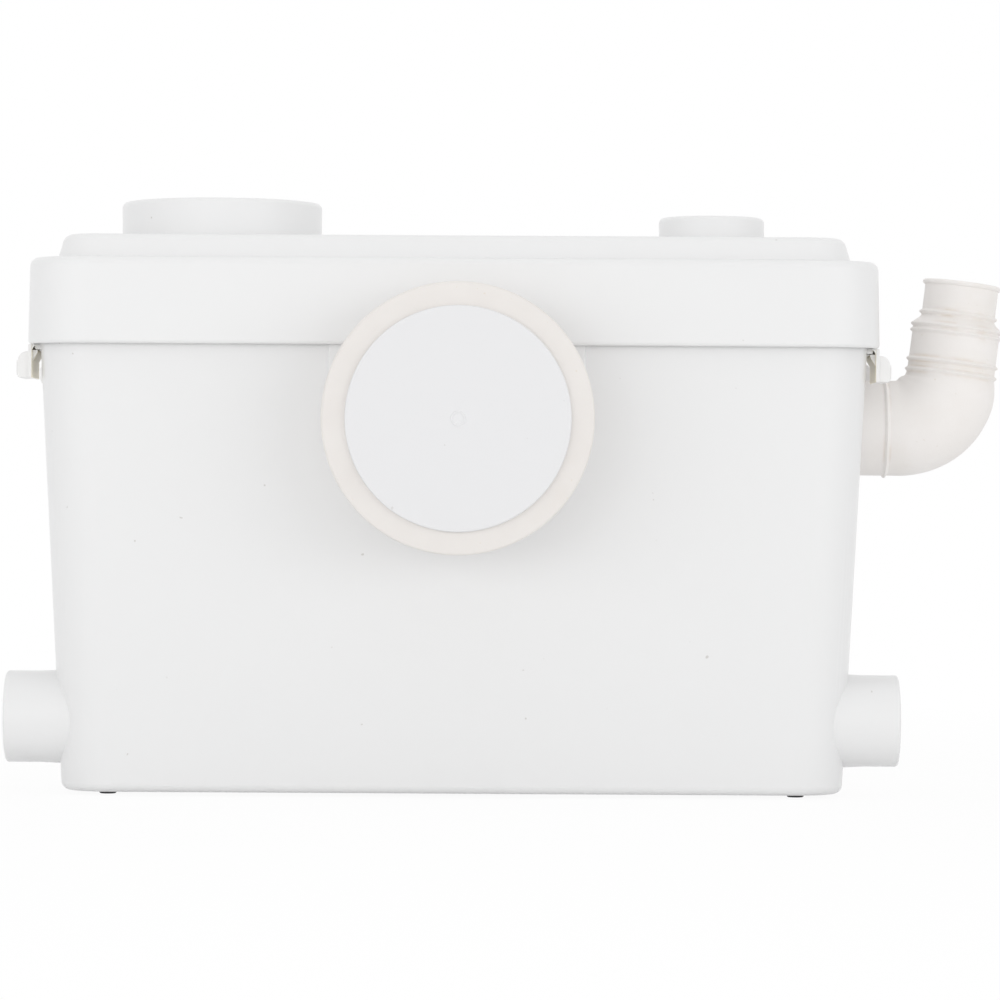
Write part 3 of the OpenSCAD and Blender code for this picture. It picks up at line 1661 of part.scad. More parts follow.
module terminal_block() {
    color(white) placed() translate([box_x, box_y + terminal_y, board_z + board_t]) difference() {
        linear_extrude(terminal_h)
            square([terminal_w, terminal_d], center = true);
        for (i = [-1.5 : 1.5])
            translate([terminal_pitch * i, 0, terminal_h / 2])
                cylinder(r = terminal_r, h = terminal_h);
    }
}

module microswitch() {
    button_z = plunger_out + plunger_travel - switch_gap + button_gap;
    color(black) placed() translate([dip_x, dip_y, switch_z]) difference() {
        translate([-switch_w / 2, -switch_d / 2, 0])
            cube([switch_w, switch_d, switch_h]);
        translate([0, 0, -past])
            cylinder(r = plunger_r + button_play, h = past + button_z);
    }
}

module dip_tube() {
    low = floor_z + dip_floor_gap;
    color(grey) placed() translate([dip_x, dip_y, low]) ring(dip_r, dip_r - dip_wall, box_z - low);
}

module membrane() {
    color(black) placed() translate([dip_x, dip_y, membrane_z]) cylinder(r = membrane_r, h = membrane_t);
}

module membrane_cover() {
    color(grey) placed() translate([dip_x, dip_y, membrane_cover_z]) difference() {
        cylinder(r = membrane_r, h = membrane_cover_h);
        translate([0, 0, -past])
            cylinder(r = clamp_r, h = membrane_cover_h - membrane_cover_wall + past);
        translate([0, 0, -past])
            cylinder(r = plunger_r + plunger_play, h = membrane_cover_h + 2 * past);
    }
}

module switch_plunger() {
    color(white) placed() translate([dip_x, dip_y, plunger_z]) {
        cylinder(r = plunger_foot_r, h = plunger_foot_t);
        cylinder(r = plunger_r, h = cover_roof_z + plunger_out - plunger_z);
    }
}

module plunger_spring() {
    low = plunger_z + plunger_foot_t;
    high = cover_roof_z - membrane_cover_wall;
    inner_r = plunger_r + spring_play;
    color(steel) placed() translate([dip_x, dip_y, low + spring_gap])
        ring(inner_r + spring_t, inner_r, high - low - 2 * spring_gap);
}

// Cable gland on the tank's back

module at_gland() {
    translate([gland_x, tank_hy(gland_z) + gland_boss_out, gland_z])
        rotate([-90, 0, 0])
            children();
}

module cable_gland() {
    through = tank_wall + gland_boss_out + gland_nut_gap + gland_nut_t + gland_tail;
    color(black) placed() at_gland() difference() {
        union() {
            translate([0, 0, -through])
                cylinder(r = gland_r, h = through);
            cylinder(r = gland_hex_r, h = gland_hex_l, $fn = 6);
            translate([0, 0, gland_hex_l])
                cylinder(r1 = gland_r + gland_dome_base, r2 = gland_r - gland_dome_draw, h = gland_dome_l);
        }
        translate([0, 0, -through - past])
            cylinder(r = gland_bore_r, h = through + gland_hex_l + gland_dome_l + 2 * past);
        translate([0, 0, -through - past])
            cylinder(r = gland_bore_r + gland_relief, h = through + gland_hex_l / 2);
    }
}

module gland_nut() {
    color(black) placed() at_gland()
        translate([0, 0, -tank_wall - gland_boss_out - gland_nut_t - gland_nut_gap])
            difference() {
                cylinder(r = gland_hex_r, h = gland_nut_t, $fn = 6);
                translate([0, 0, -past])
                    cylinder(r = gland_r + press_play, h = gland_nut_t + 2 * past);
            }
}

tank();
feet();
lid();
lid_seal();
clip_front_left();
clip_front_right();
clip_rear_left();
clip_rear_right();
motor_cap();
vent_cap();
carbon_filter();
inlet_collar();
inlet_blank();
waste_chute();
left_valve_ring();
right_valve_ring();
left_flap();
right_flap();
outlet_valve();
valve_gasket();
check_flap();
discharge_elbow();
discharge_pipe();
pump_mounts();
volute();
volute_cover();
pump_screws();
impeller();
impeller_nut();
seal_seat();
seal_ring();
basket();
cutter();
motor_flange();
motor_can();
motor_top_cover();
motor_boot();
tie_rods();
lower_bearing();
upper_bearing();
stator_core();
stator_windings();
rotor_core();
motor_shaft();
control_box();
box_cover();
box_screws();
circuit_board();
capacitor();
terminal_block();
microswitch();
dip_tube();
membrane();
membrane_cover();
switch_plunger();
plunger_spring();
motor_lead();
cable_gland();
gland_nut();
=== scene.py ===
import json
import math

import bmesh
import bpy
from mathutils import Matrix, Vector


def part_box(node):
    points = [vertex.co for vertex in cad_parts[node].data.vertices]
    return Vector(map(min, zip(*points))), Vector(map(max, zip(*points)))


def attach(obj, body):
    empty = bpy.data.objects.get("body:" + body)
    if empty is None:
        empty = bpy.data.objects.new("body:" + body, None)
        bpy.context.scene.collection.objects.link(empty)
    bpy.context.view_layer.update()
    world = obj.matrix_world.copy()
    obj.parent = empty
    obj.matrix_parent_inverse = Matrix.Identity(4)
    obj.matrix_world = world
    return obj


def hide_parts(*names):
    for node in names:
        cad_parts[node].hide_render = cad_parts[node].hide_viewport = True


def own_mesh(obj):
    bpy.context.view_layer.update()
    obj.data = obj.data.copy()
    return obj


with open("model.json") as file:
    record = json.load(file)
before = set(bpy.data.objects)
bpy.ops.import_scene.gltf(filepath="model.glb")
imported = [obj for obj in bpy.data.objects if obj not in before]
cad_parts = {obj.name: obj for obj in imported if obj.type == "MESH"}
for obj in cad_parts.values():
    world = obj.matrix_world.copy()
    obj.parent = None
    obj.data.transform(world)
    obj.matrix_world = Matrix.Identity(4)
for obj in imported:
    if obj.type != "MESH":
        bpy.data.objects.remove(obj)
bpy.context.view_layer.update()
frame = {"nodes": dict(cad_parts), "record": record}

MM = 0.001

# Fineness of the meshes
ROUND_STEPS = 6
CORNER_STEPS = 14
LATHE_STEPS = 128
PIPE_STEPS = 96
ROD_STEPS = 120
EDGE_STEPS = 3

# Shading, and small lengths of the mesh tools
FLAT_WEIGHT = 100
CREASE = math.radians(34)
TINY = 1e-6
PAST = 1.0
WELD = 0.03

lid_low, lid_high = (Vector(corner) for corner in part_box("lid"))
MIDDLE = Vector(((lid_low.x + lid_high.x) / 2, (lid_low.y + lid_high.y) / 2, 0))


def span(node):
    """Lowest and highest corner of a solid, in millimetres about the tank's middle."""
    low, high = (Vector(corner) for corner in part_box(node))
    return (low - MIDDLE) / MM, (high - MIDDLE) / MM


def centre(node):
    """Middle of a solid's box, in millimetres about the tank's middle."""
    low, high = span(node)
    return (low + high) / 2


# Places and reaches that the frame gives
LID_LOW, LID_HIGH = span("lid")
TANK_LOW, TANK_HIGH = span("tank")
COLLAR_LOW, COLLAR_HIGH = span("inlet_collar")
BLANK_LOW, BLANK_HIGH = span("inlet_blank")
ELBOW_LOW = span("discharge_elbow")[0]
FEET_LOW, FEET_HIGH = span("feet")
GLAND_LOW, GLAND_HIGH = span("cable_gland")
MOTOR_CAP_LOW, MOTOR_CAP_HIGH = span("motor_cap")
VENT_CAP_LOW, VENT_CAP_HIGH = span("vent_cap")
INLET = centre("inlet_collar")
OUTLET = centre("valve_gasket")
SIDE_INLET = centre("right_valve_ring")
GLAND = centre("cable_gland")
BASE_Z = TANK_LOW.z
RIM_Z = TANK_HIGH.z
SKIRT_Z = LID_LOW.z
CROWN_Z = MOTOR_CAP_LOW.z

# Tank
TANK_BASE_X = 170.5
TANK_BASE_Y = 75.5
TANK_SLOPE = math.tan(math.radians(2.75))
TANK_WALL = 3.0
TANK_CORNER = 22.0
FLOOR_DROP = 1.7
SHELL_Z = BASE_Z - FLOOR_DROP
FLOOR_ROUND = 3.6
FLOOR_ROUND_INSIDE = 4.5
RIM_ROUND = 0.8
FLAT_INSET = 21.0
PAD_R = 55.5
PAD_ROUND = 1.2
PAD_STEPS = 64
PAD_TOP_GAP = 0.4
STUB_R = 20.0
STUB_BORE_R = 17.5
STUB_ROUND = 1.2
STUB_ROOT = 0.4
STUB_ROOT_X = 175.49
STUB_EASE = 4.0
FLARE_TURN = math.radians(72)
FLARE_STEPS = 6
FLARE_OUT = 0.7
OUTLET_BOSS_R = 20.4
OUTLET_BOSS_X = 179.31
OUTLET_HOLE_R = 16.08
GLAND_BOSS_R = 12.5
GLAND_BOSS_OUT = 2.0
GLAND_HOLE_R = 8.1
COLLAR_PLAY = 0.05
LUG_X = 182.245
LUG_LOW_Z = 193.4
LUG_HIGH_Z = 199.0
LUG_W = 28.0
LUG_ROUND = 0.6

# Lid
LID_WALL = 2.5
LID_CORNER = 25.845
SKIRT_SLOPE = math.tan(math.radians(1.1))
SKIRT_ROUND = 3.6
SKIRT_EDGE = 1.7
SKIRT_LIP = 0.4
STEP_Z = 233.0
LEDGE_Z = STEP_Z - LID_WALL
CROWN_STEP = 11.6
CROWN_LEAN = 3.2
CROWN_CORNER = 18.0
CROWN_ROUND = 4.2
CROWN_FOOT = 0.8
CROWN_ROUND_INSIDE = 3.0
LEDGE_ROUND = 0.8
CAP_RING_PLAY = 0.3
CAP_RING_WALL = 2.4
MOTOR_HOLE_R = 36.5
VENT_HOLE_R = 15.0
ARCH_R = 53.5

# Caps
CAP_WALL = 2.5
CAP_TRIM = {"motor_cap": 0.9, "vent_cap": 0.0}
CAP_ROUND = 2.2
CAP_EDGE = 0.5

# Pan inlet. DROOP shifts its mouth along X and Z
INLET_STEPS = 160
COLLAR_R = 52.0
COLLAR_BORE_R = 45.0
COLLAR_MOUTH_R = 46.5
COLLAR_MOUTH_L = 9.0
COLLAR_RELIEF = 38.0
MOUTH_ROUND = 0.8
BORE_ROUND = 0.7
SEAT_ROUND = 0.4
TAIL_ROUND = 1.0
LIP_L = 12.0
LIP_ROUND = 4.0
LIP_EDGE = 1.4
LIP_HEEL = 2.0
LIP_CONE = 1.8
LIP_SWELL = 0.8
DROOP = (1.1, -1.45)
BLANK_T = 3.0
BLANK_SWELL = 0.3
BLANK_EDGE = 0.8
BLANK_BACK_EDGE = 0.4
PLUG_R = 46.2
PLUG_WALL = 3.5
PLUG_FOOT = 0.3
PLUG_EDGE = 0.9
PLUG_ROOT = 1.0
GATE_R = 3.0
GATE_RISE = 0.32
GATE_TOP = 0.5
GATE_FOOT_IN = 0.9
GATE_FOOT_OUT = 0.3
GATE_EDGE = 0.1

# Discharge elbow
ELBOW_R = 21.3
BEND_START = 18.2
BEND_R = 24.5
BEND_TURN = math.radians(82.9)
SLEEVE_R = 19.5
SLEEVE_L = 24.4
SHOULDER_L = 3.6
NECK_R = 16.4
UPPER_L = 44.2
RIM_OUT = 1.3
RIM_L = 2.2
NARROW_START = 6.0
NARROW_END = 4.0
BEND_SWELL = 0.8
SWELL_START = 4.0
SWELL_END = 2.0
BEAD_OUT = 1.15
BEAD_HALF = 1.35
FIRST_BEAD = 5.2
UPPER_BEADS = (3.2, 7.9, 21.0, 23.8, 29.5)
CREASE_TINT_W = 0.5
SPIGOT_R = 16.3
SPIGOT_L = 15.8
SPIGOT_STEP = 0.8
SPIGOT_EDGE = 0.5
BEND_BORE_R = 13.0
BORE_EASE = 4.0
OUTLET_BORE_R = 14.0
OUTLET_EDGE = 0.6
OUTLET_L = 4.0
THROAT_L = 10.0
HOSE_EDGE = ((0.0, 0.8), (0.3, 0.2))
HOSE_STEPS = 90
BEAD_STEPS = 7
RIM_STEPS = 8
BEND_STEPS = 24

# Lid clips
CLIP_W = 32.0
CLIP_H = 14.5
CLIP_T = 1.7
BLADE_EDGE = 0.5
GRIP_W = 28.0
GRIP_OUT = 5.5
GRIP_TOP = 3.0
GRIP_ROUND = 4.0
GRIP_EDGE = 0.8
RIDGES = 5
RIDGE_RISE = 0.8
RIDGE_DROP = 2.6
RIDGE_R = 2.0
RIDGE_END = 0.98
RIDGE_STEPS = 24
BARB_W = 27.0
BARB_REACH = 2.2
BARB_DROP = 2.4
BARB_H = 5.0
BARB_NOSE = 1.0
BARB_EDGE = 0.3
HINGE_GAP = 0.06
INNER_LEAN = 0.3
WEB_W = 1.8
WEB_OUT = 2.9
WEB_LAP = 0.01
WEB_STEPS = 10
SOFT_EDGE = 0.35

# Plunger spring
SPRING_TURNS = 3
SPRING_STEPS = 28
SPRING_WIRE_R = 0.35
SPRING_PLAY = 0.05
WIRE_STEPS = 12

# Feet and cable gland
FOOT_TOP_R = 4.0
FOOT_LOW_R = 3.6
FOOT_ROUND = 0.9
FOOT_STEPS = 32
HEX_SIDES = 6
HEX_R = 11.0
HEX_L = 4.0
HEX_GAP = 0.02
HEX_EDGE = 0.7
GLAND_STEPS = 64
GLAND_THREAD_R = 8.0
GLAND_THREAD_EDGE = 0.6
GLAND_BORE_R = 3.5
GLAND_BORE_PLAY = 0.01
GLAND_BORE_EDGE = 0.3
DOME_BASE_R = 9.5
DOME_BASE_L = 1.0
DOME_TIP_R = 7.0
DOME_ROUND = 2.4
DOME_EDGE = 0.5
FLUTES = 14
FLUTE_R = 1.0
FLUTE_END = 0.95
FLUTE_STEPS = 12
FLUTE_SHORT = 1.6
FLUTE_START = 0.6

# ---- mesh tools


def rounded(corners, closed=False, steps=ROUND_STEPS):
    """Points of an outline through corners (across, along, radius), each rounded by its radius."""
    points = []
    last = len(corners) - 1
    for i, (across, along, radius) in enumerate(corners):
        here = Vector((across, along))
        if radius < TINY or (not closed and i in (0, last)):
            points.append(here)
            continue
        back = (Vector(corners[i - 1][:2]) - here).normalized()
        ahead = (Vector(corners[(i + 1) % len(corners)][:2]) - here).normalized()
        half = back.angle(ahead) / 2
        hub = here + (back + ahead).normalized() * (radius / math.sin(half))
        start = here + back * (radius / math.tan(half)) - hub
        end = here + ahead * (radius / math.tan(half)) - hub
        sweep = math.atan2(start.x * end.y - start.y * end.x, start.dot(end))
        for k in range(steps + 1):
            points.append(hub + Matrix.Rotation(sweep * k / steps, 2) @ start)
    return points


def bridge(mesh, near, far):
    """Faces between two rings of points; a single point makes a fan."""
    for i in range(max(len(near), len(far))):
        j = i + 1
        corners = [near[i % len(near)], near[j % len(near)], far[j % len(far)], far[i % len(far)]]
        mesh.faces.new(list(dict.fromkeys(corners)))


def add_object(name, data):
    """Object of a mesh, camera or lamp, put into the scene."""
    thing = bpy.data.objects.new(name, data)
    bpy.context.scene.collection.objects.link(thing)
    return thing


def to_object(name, mesh):
    """Closed bmesh drawn in millimetres, put into the frame as an object."""
    bmesh.ops.recalc_face_normals(mesh, faces=mesh.faces)
    for point in mesh.verts:
        point.co = MIDDLE + point.co * MM
    data = bpy.data.meshes.new(name)
    mesh.to_mesh(data)
    mesh.free()
    return add_object(name, data)


def loft(name, rings, ring_closed=False):
    """Solid through rings of points, with a flat face on each end unless the rings close."""
    mesh = bmesh.new()
    loops = [[mesh.verts.new(point) for point in ring] for ring in rings]
    for near, far in zip(loops, loops[1:]):
        bridge(mesh, near, far)
    if ring_closed:
        bridge(mesh, loops[-1], loops[0])
    else:
        for end in (loops[0], loops[-1]):
            if len(end) > 2:
                mesh.faces.new(end)
    return to_object(name, mesh)


def lathe(name, outline, turn, steps=LATHE_STEPS):
    """Solid turned from an outline of (radius, height); one off the axis all round makes a ring."""
    rings = []
    for radius, height in outline:
        if radius < TINY:
            rings.append([turn @ Vector((0, 0, height))])
            continue
        angles = [2 * math.pi * k / steps for k in range(steps)]
        rings.append([turn @ Vector((radius * math.cos(a), radius * math.sin(a), height)) for a in angles])
    return loft(name, rings, ring_closed=outline[0][0] > TINY)


def along_x(x, y, z):
    """Frame whose own Z axis runs along +X from a point."""
    return Matrix.Translation((x, y, z)) @ Matrix.Rotation(math.pi / 2, 4, "Y")


def along_y(x, y, z):
    """Frame whose own Z axis runs along +Y from a point."""
    return Matrix.Translation((x, y, z)) @ Matrix.Rotation(-math.pi / 2, 4, "X")


def along_z(x, y, z):
    """Frame whose own Z axis runs along +Z from a point."""
    return Matrix.Translation((x, y, z))


def rod(name, radius, start, end, turn):
    """Plain round cutter or core from start to end along a frame's own Z axis."""
    return lathe(name, [(0, start), (radius, start), (radius, end), (0, end)], turn, ROD_STEPS)


def capsule(name, radius, half, fullness, turn, steps):
    """Round-ended rod about the frame's origin, as a pattern to repeat."""
    bend = radius * fullness
    outline = rounded([(0, -half, 0), (radius, -half, bend), (radius, half, bend), (0, half, 0)])
    shape = lathe(name, outline, turn, steps)
    shape.data.transform(Matrix.Translation(-MIDDLE))
    return shape


def plan(half_x, half_y, radius):
    """Rounded rectangle seen from above."""
    points = []
    for quarter, (side_x, side_y) in enumerate(((1, 1), (-1, 1), (-1, -1), (1, -1))):
        for k in range(CORNER_STEPS + 1):
            angle = math.pi / 2 * (quarter + k / CORNER_STEPS)
            points.append((side_x * (half_x - radius) + radius * math.cos(angle),
                           side_y * (half_y - radius) + radius * math.sin(angle)))
    return points


def boxed(name, profile, half, corner):
    """Rounded box whose wall follows a profile of (inset, height)."""
    rings = []
    for inset, z in profile:
        half_x, half_y = half(z)
        rings.append([(x, y, z) for x, y in plan(half_x - inset, half_y - inset, corner(inset))])
    return loft(name, rings)


def bar(name, outline, start_y, end_y, soften=0.0):
    """Bar along Y with an outline of (x, z), its edges softened."""
    shape = loft(name, [[(x, y, z) for x, z in outline] for y in (start_y, end_y)])
    if soften:
        edge = shape.modifiers.new("soft_edges", "BEVEL")
        edge.width = soften * MM
        edge.segments = EDGE_STEPS
        edge.limit_method = "ANGLE"
        edge.angle_limit = CREASE
        settle(shape)
    return shape


def settle(shape):
    """Replaces an object's mesh by what its modifiers make of it."""
    graph = bpy.context.evaluated_depsgraph_get()
    made = bpy.data.meshes.new_from_object(shape.evaluated_get(graph))
    shape.modifiers.clear()
    old = shape.data
    shape.data = made
    bpy.data.meshes.remove(old)


def carve(shape, steps):
    """Joins solids to a shape or cuts them out of it, in order, and removes them."""
    for solid in (shape, *(tool for _, tool in steps)):
        mesh = bmesh.new()
        mesh.from_mesh(solid.data)
        bmesh.ops.triangulate(mesh, faces=mesh.faces)
        mesh.to_mesh(solid.data)
        mesh.free()
    for operation, tool in steps:
        step = shape.modifiers.new("carve", "BOOLEAN")
        step.operation = operation
        step.solver = "EXACT"
        step.object = tool
    settle(shape)
    for _, tool in steps:
        bpy.data.objects.remove(tool)
    weld(shape)
    return shape


def weld(shape):
    """Closes the hairline cracks that carving leaves, by joining points that all but coincide."""
    mesh = bmesh.new()
    mesh.from_mesh(shape.data)
    bmesh.ops.remove_doubles(mesh, verts=mesh.verts, dist=WELD * MM)
    bmesh.ops.dissolve_degenerate(mesh, edges=mesh.edges, dist=WELD * MM)
    mesh.to_mesh(shape.data)
    mesh.free()


def smooth(shape):
    """Smooth shading that keeps flat faces flat and sharp edges sharp."""
    data = shape.data
    data.polygons.foreach_set("use_smooth", [True] * len(data.polygons))
    data.set_sharp_from_angle(angle=CREASE)
    weighted = shape.modifiers.new("flat_faces", "WEIGHTED_NORMAL")
    weighted.keep_sharp = True
    weighted.weight = FLAT_WEIGHT
    settle(shape)


def dress(shape, name, body, slot, finish, *nodes):
    """Gives a finished piece its name, finish and body, and hides the solids that it stands for. The slot is not
    used.
    """
    smooth(shape)
    shape.name = name
    shape.data.name = name
    shape.data.materials.clear()
    shape.data.materials.append(finish)
    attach(shape, body)
    if nodes:
        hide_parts(*nodes)
    return shape


def repeated(name, pattern, layout, sizes):
    """Mesh of a pattern repeated by a node tree, at the points that its layout gives."""
    tree = bpy.data.node_groups.new(name, "GeometryNodeTree")
    for label, (kind, _) in sizes.items():
        tree.interface.new_socket(label, in_out="INPUT", socket_type=kind)
    tree.interface.new_socket("Geometry", in_out="OUTPUT", socket_type="NodeSocketGeometry")
    given = tree.nodes.new("NodeGroupInput")
    result = tree.nodes.new("NodeGroupOutput")
    source = tree.nodes.new("GeometryNodeObjectInfo")
    source.inputs["Object"].default_value = pattern
    scatter = tree.nodes.new("GeometryNodeInstanceOnPoints")
    realize = tree.nodes.new("GeometryNodeRealizeInstances")
    tree.links.new(layout(tree, given), scatter.inputs["Points"])
    tree.links.new(source.outputs["Geometry"], scatter.inputs["Instance"])
    tree.links.new(scatter.outputs["Instances"], realize.inputs["Geometry"])
    tree.links.new(realize.outputs["Geometry"], result.inputs["Geometry"])
    shape = add_object(name, bpy.data.meshes.new(name))
    step = shape.modifiers.new("repeat", "NODES")
    step.node_group = tree
    for item in tree.interface.items_tree:
        if item.item_type == "SOCKET" and item.in_out == "INPUT":
            step[item.identifier] = sizes[item.name][1]
    settle(shape)
    bpy.data.objects.remove(pattern)
    return shape


def in_a_row(tree, given):
    """Points of a straight row, for a repeated pattern."""
    row = tree.nodes.new("GeometryNodeMeshLine")
    for label, socket in (("Count", "Count"), ("Start", "Start Location"), ("Pitch", "Offset")):
        tree.links.new(given.outputs[label], row.inputs[socket])
    return row.outputs["Mesh"]


def in_a_ring(tree, given):
    """Points of a ring about the Y axis, for a repeated pattern."""
    ring = tree.nodes.new("GeometryNodeMeshCircle")
    tree.links.new(given.outputs["Count"], ring.inputs["Vertices"])
    tree.links.new(given.outputs["Radius"], ring.inputs["Radius"])
    place = tree.nodes.new("GeometryNodeTransform")
    place.inputs["Rotation"].default_value = (math.pi / 2, 0, 0)
    tree.links.new(ring.outputs["Mesh"], place.inputs["Geometry"])
    tree.links.new(given.outputs["Centre"], place.inputs["Translation"])
    return place.outputs["Geometry"]


# ---- finishes

# Patterns of the plastics and rubbers, in cells a metre, and their depth in metres
TONE_CELLS = 6
SPECK_CELLS = 300
GLOSS_CELLS = 25
PEEL_CELLS = 1100
PEEL_DEPTH = 0.0001
MOTTLE_CELLS = 55
STAIN_CELLS = 26
DOT_CELLS = 600
DULL_CELLS = 90
POWDER_CELLS = 1400
POWDER_DEPTH = 0.0002
DENT_CELLS = 120
DENT_DEPTH = 0.0006
CREASE_TINT_CELLS = 70
SPECK_BROWN = (0.32, 0.29, 0.24)
# Brown that tints the elbow's creases beside its beads
CREASE_TINT_BROWN = (0.70, 0.60, 0.49)

# Patterns of the inner parts
BRUSH_CELLS = 500
BRUSH_DEPTH = 0.0001
WIRE_BANDS = 330
WIRE_WANDER = 0.6
WIRE_DEPTH = 0.0004
WIRE_GLOSS_CELLS = 200
TRACK_CELLS = 90
TRACK_W = 0.04
TRACK_DEPTH = 0.0001
LACQUER_CELLS = 150
GRANULE_CELLS = 700
GRANULE_DEPTH = 0.0006
DUST_CELLS = 300


def new_finish(name):
    """Empty finish with its node tree, its shader and the object's own coordinates."""
    finish = bpy.data.materials.new(name)
    finish.use_nodes = True
    tree = finish.node_tree
    where = tree.nodes.new("ShaderNodeTexCoord").outputs["Object"]
    return finish, tree, tree.nodes["Principled BSDF"], where


def noise(tree, where, scale, detail=2.0, stretch=None):
    """Soft random pattern from 0 to 1, with its scale in cells a metre."""
    if stretch:
        mapping = tree.nodes.new("ShaderNodeMapping")
        mapping.inputs["Scale"].default_value = stretch
        tree.links.new(where, mapping.inputs["Vector"])
        where = mapping.outputs["Vector"]
    node = tree.nodes.new("ShaderNodeTexNoise")
    node.inputs["Scale"].default_value = scale
    node.inputs["Detail"].default_value = detail
    tree.links.new(where, node.inputs["Vector"])
    return node.outputs["Fac"]


def ramp(tree, factor, *stops):
    """Colours or greys along a factor, given as (place, value)."""
    node = tree.nodes.new("ShaderNodeValToRGB")
    marks = node.color_ramp.elements
    while len(marks) < len(stops):
        marks.new(0.5)
    for mark, (place, value) in zip(marks, stops):
        mark.position = place
        mark.color = (*value, 1) if isinstance(value, tuple) else (value, value, value, 1)
    tree.links.new(factor, node.inputs["Fac"])
    return node.outputs["Color"]


def ranged(tree, factor, low, high, start=0.3, end=0.7):
    """Number between low and high as a factor goes from start to end."""
    node = tree.nodes.new("ShaderNodeMapRange")
    for socket, value in (("From Min", start), ("From Max", end), ("To Min", low), ("To Max", high)):
        node.inputs[socket].default_value = value
    tree.links.new(factor, node.inputs["Value"])
    return node.outputs["Result"]


def mixed(tree, factor, first, second, blend="MIX"):
    """Mix of two colours, each a socket or a value."""
    node = tree.nodes.new("ShaderNodeMix")
    node.data_type = "RGBA"
    node.blend_type = blend
    sockets = [s for s in node.inputs if s.type == "RGBA"]
    for socket, value in zip(sockets, (first, second)):
        if isinstance(value, tuple):
            socket.default_value = (*value, 1)
        else:
            tree.links.new(value, socket)
    if isinstance(factor, float):
        node.inputs["Factor"].default_value = factor
    else:
        tree.links.new(factor, node.inputs["Factor"])
    return next(s for s in node.outputs if s.type == "RGBA")


def coat(tree, shader, tone, roughness):
    """Colour and roughness of a shader, each from a socket."""
    tree.links.new(tone, shader.inputs["Base Color"])
    tree.links.new(roughness, shader.inputs["Roughness"])


def relief(tree, shader, *layers):
    """Bump of several heights, each (socket, strength, depth in metres), onto a shader."""
    normal = None
    for height, strength, depth in layers:
        node = tree.nodes.new("ShaderNodeBump")
        node.inputs["Strength"].default_value = strength
        node.inputs["Distance"].default_value = depth
        tree.links.new(height, node.inputs["Height"])
        if normal:
            tree.links.new(normal, node.inputs["Normal"])
        normal = node.outputs["Normal"]
    tree.links.new(normal, shader.inputs["Normal"])


def moulded_plastic(name, colour, shade, gloss=(0.27, 0.3), grain=0.005, speck=0.0, inner_shade=None):
    """Moulded plastic: two close tones, uneven gloss, a faint orange peel, and where asked for
    a few dark specks or a painted warm shade on the faces marked inner."""
    finish, tree, shader, where = new_finish(name)
    tone = ramp(tree, noise(tree, where, TONE_CELLS), (0.15, shade), (0.85, colour))
    # Faces marked inner take a painted warm khaki shade, standing in for the dim warm light between a clip and the
    # tank
    if inner_shade:
        inner = tree.nodes.new("ShaderNodeAttribute")
        inner.attribute_name = "inner"
        tone = mixed(tree, inner.outputs["Fac"], tone, inner_shade)
    if speck:
        spots = ramp(tree, noise(tree, where, SPECK_CELLS, 1), (0.805, 0.0), (0.83, speck))
        tone = mixed(tree, spots, tone, SPECK_BROWN)
    coat(tree, shader, tone, ranged(tree, noise(tree, where, GLOSS_CELLS), *gloss, 0.1, 0.9))
    relief(tree, shader, (noise(tree, where, PEEL_CELLS, 1), grain, PEEL_DEPTH))
    return finish


def soft_rubber(name, colour, shade, stain, creased=False):
    """Matte moulded rubber: mottled, with handling stains, a fine powdery grain and, where asked for,
    a patchy brown tint in the creases beside its beads."""
    finish, tree, shader, where = new_finish(name)
    tone = ramp(tree, noise(tree, where, MOTTLE_CELLS, 6), (0.32, shade), (0.68, colour))
    blotch = ramp(tree, noise(tree, where, STAIN_CELLS, 8), (0.58, 0.0), (0.78, 0.35))
    tone = mixed(tree, blotch, tone, stain)
    dots = ramp(tree, noise(tree, where, DOT_CELLS, 1), (0.75, 0.0), (0.8, 0.5))
    tone = mixed(tree, dots, tone, stain)
    # Patchy brown, darker in the creases beside the beads
    if creased:
        crease = tree.nodes.new("ShaderNodeAttribute")
        crease.attribute_name = "crease"
        patchy = ramp(tree, noise(tree, where, CREASE_TINT_CELLS, 5), (0.45, 0.0), (0.75, 0.6))
        crease_tint = mixed(tree, 1.0, patchy, crease.outputs["Color"], "MULTIPLY")
        tone = mixed(tree, crease_tint, tone, CREASE_TINT_BROWN)
    coat(tree, shader, tone, ranged(tree, noise(tree, where, DULL_CELLS, 4), 0.5, 0.68))
    relief(tree, shader, (noise(tree, where, POWDER_CELLS, 3), 0.12, POWDER_DEPTH),
           (noise(tree, where, DENT_CELLS, 4), 0.12, DENT_DEPTH))
    return finish


def brushed_metal(name, colour, shade, grain_axis):
    """Turned or drawn metal, with fine lines along one axis and uneven gloss."""
    finish, tree, shader, where = new_finish(name)
    lines = noise(tree, where, BRUSH_CELLS, 3, grain_axis)
    coat(tree, shader, ramp(tree, lines, (0.3, shade), (0.7, colour)), ranged(tree, lines, 0.22, 0.42))
    shader.inputs["Metallic"].default_value = 1.0
    relief(tree, shader, (lines, 0.1, BRUSH_DEPTH))
    return finish


def wound_copper(name):
    """Enamelled copper wire, wound side by side."""
    finish, tree, shader, where = new_finish(name)
    turns = tree.nodes.new("ShaderNodeTexWave")
    turns.wave_type = "BANDS"
    turns.bands_direction = "Z"
    turns.inputs["Scale"].default_value = WIRE_BANDS
    turns.inputs["Distortion"].default_value = WIRE_WANDER
    tree.links.new(where, turns.inputs["Vector"])
    tone = ramp(tree, turns.outputs["Fac"], (0.1, (0.25, 0.07, 0.02)), (0.7, (0.66, 0.27, 0.11)))
    coat(tree, shader, tone, ranged(tree, noise(tree, where, WIRE_GLOSS_CELLS), 0.25, 0.4))
    shader.inputs["Metallic"].default_value = 0.8
    relief(tree, shader, (turns.outputs["Fac"], 0.6, WIRE_DEPTH))
    return finish


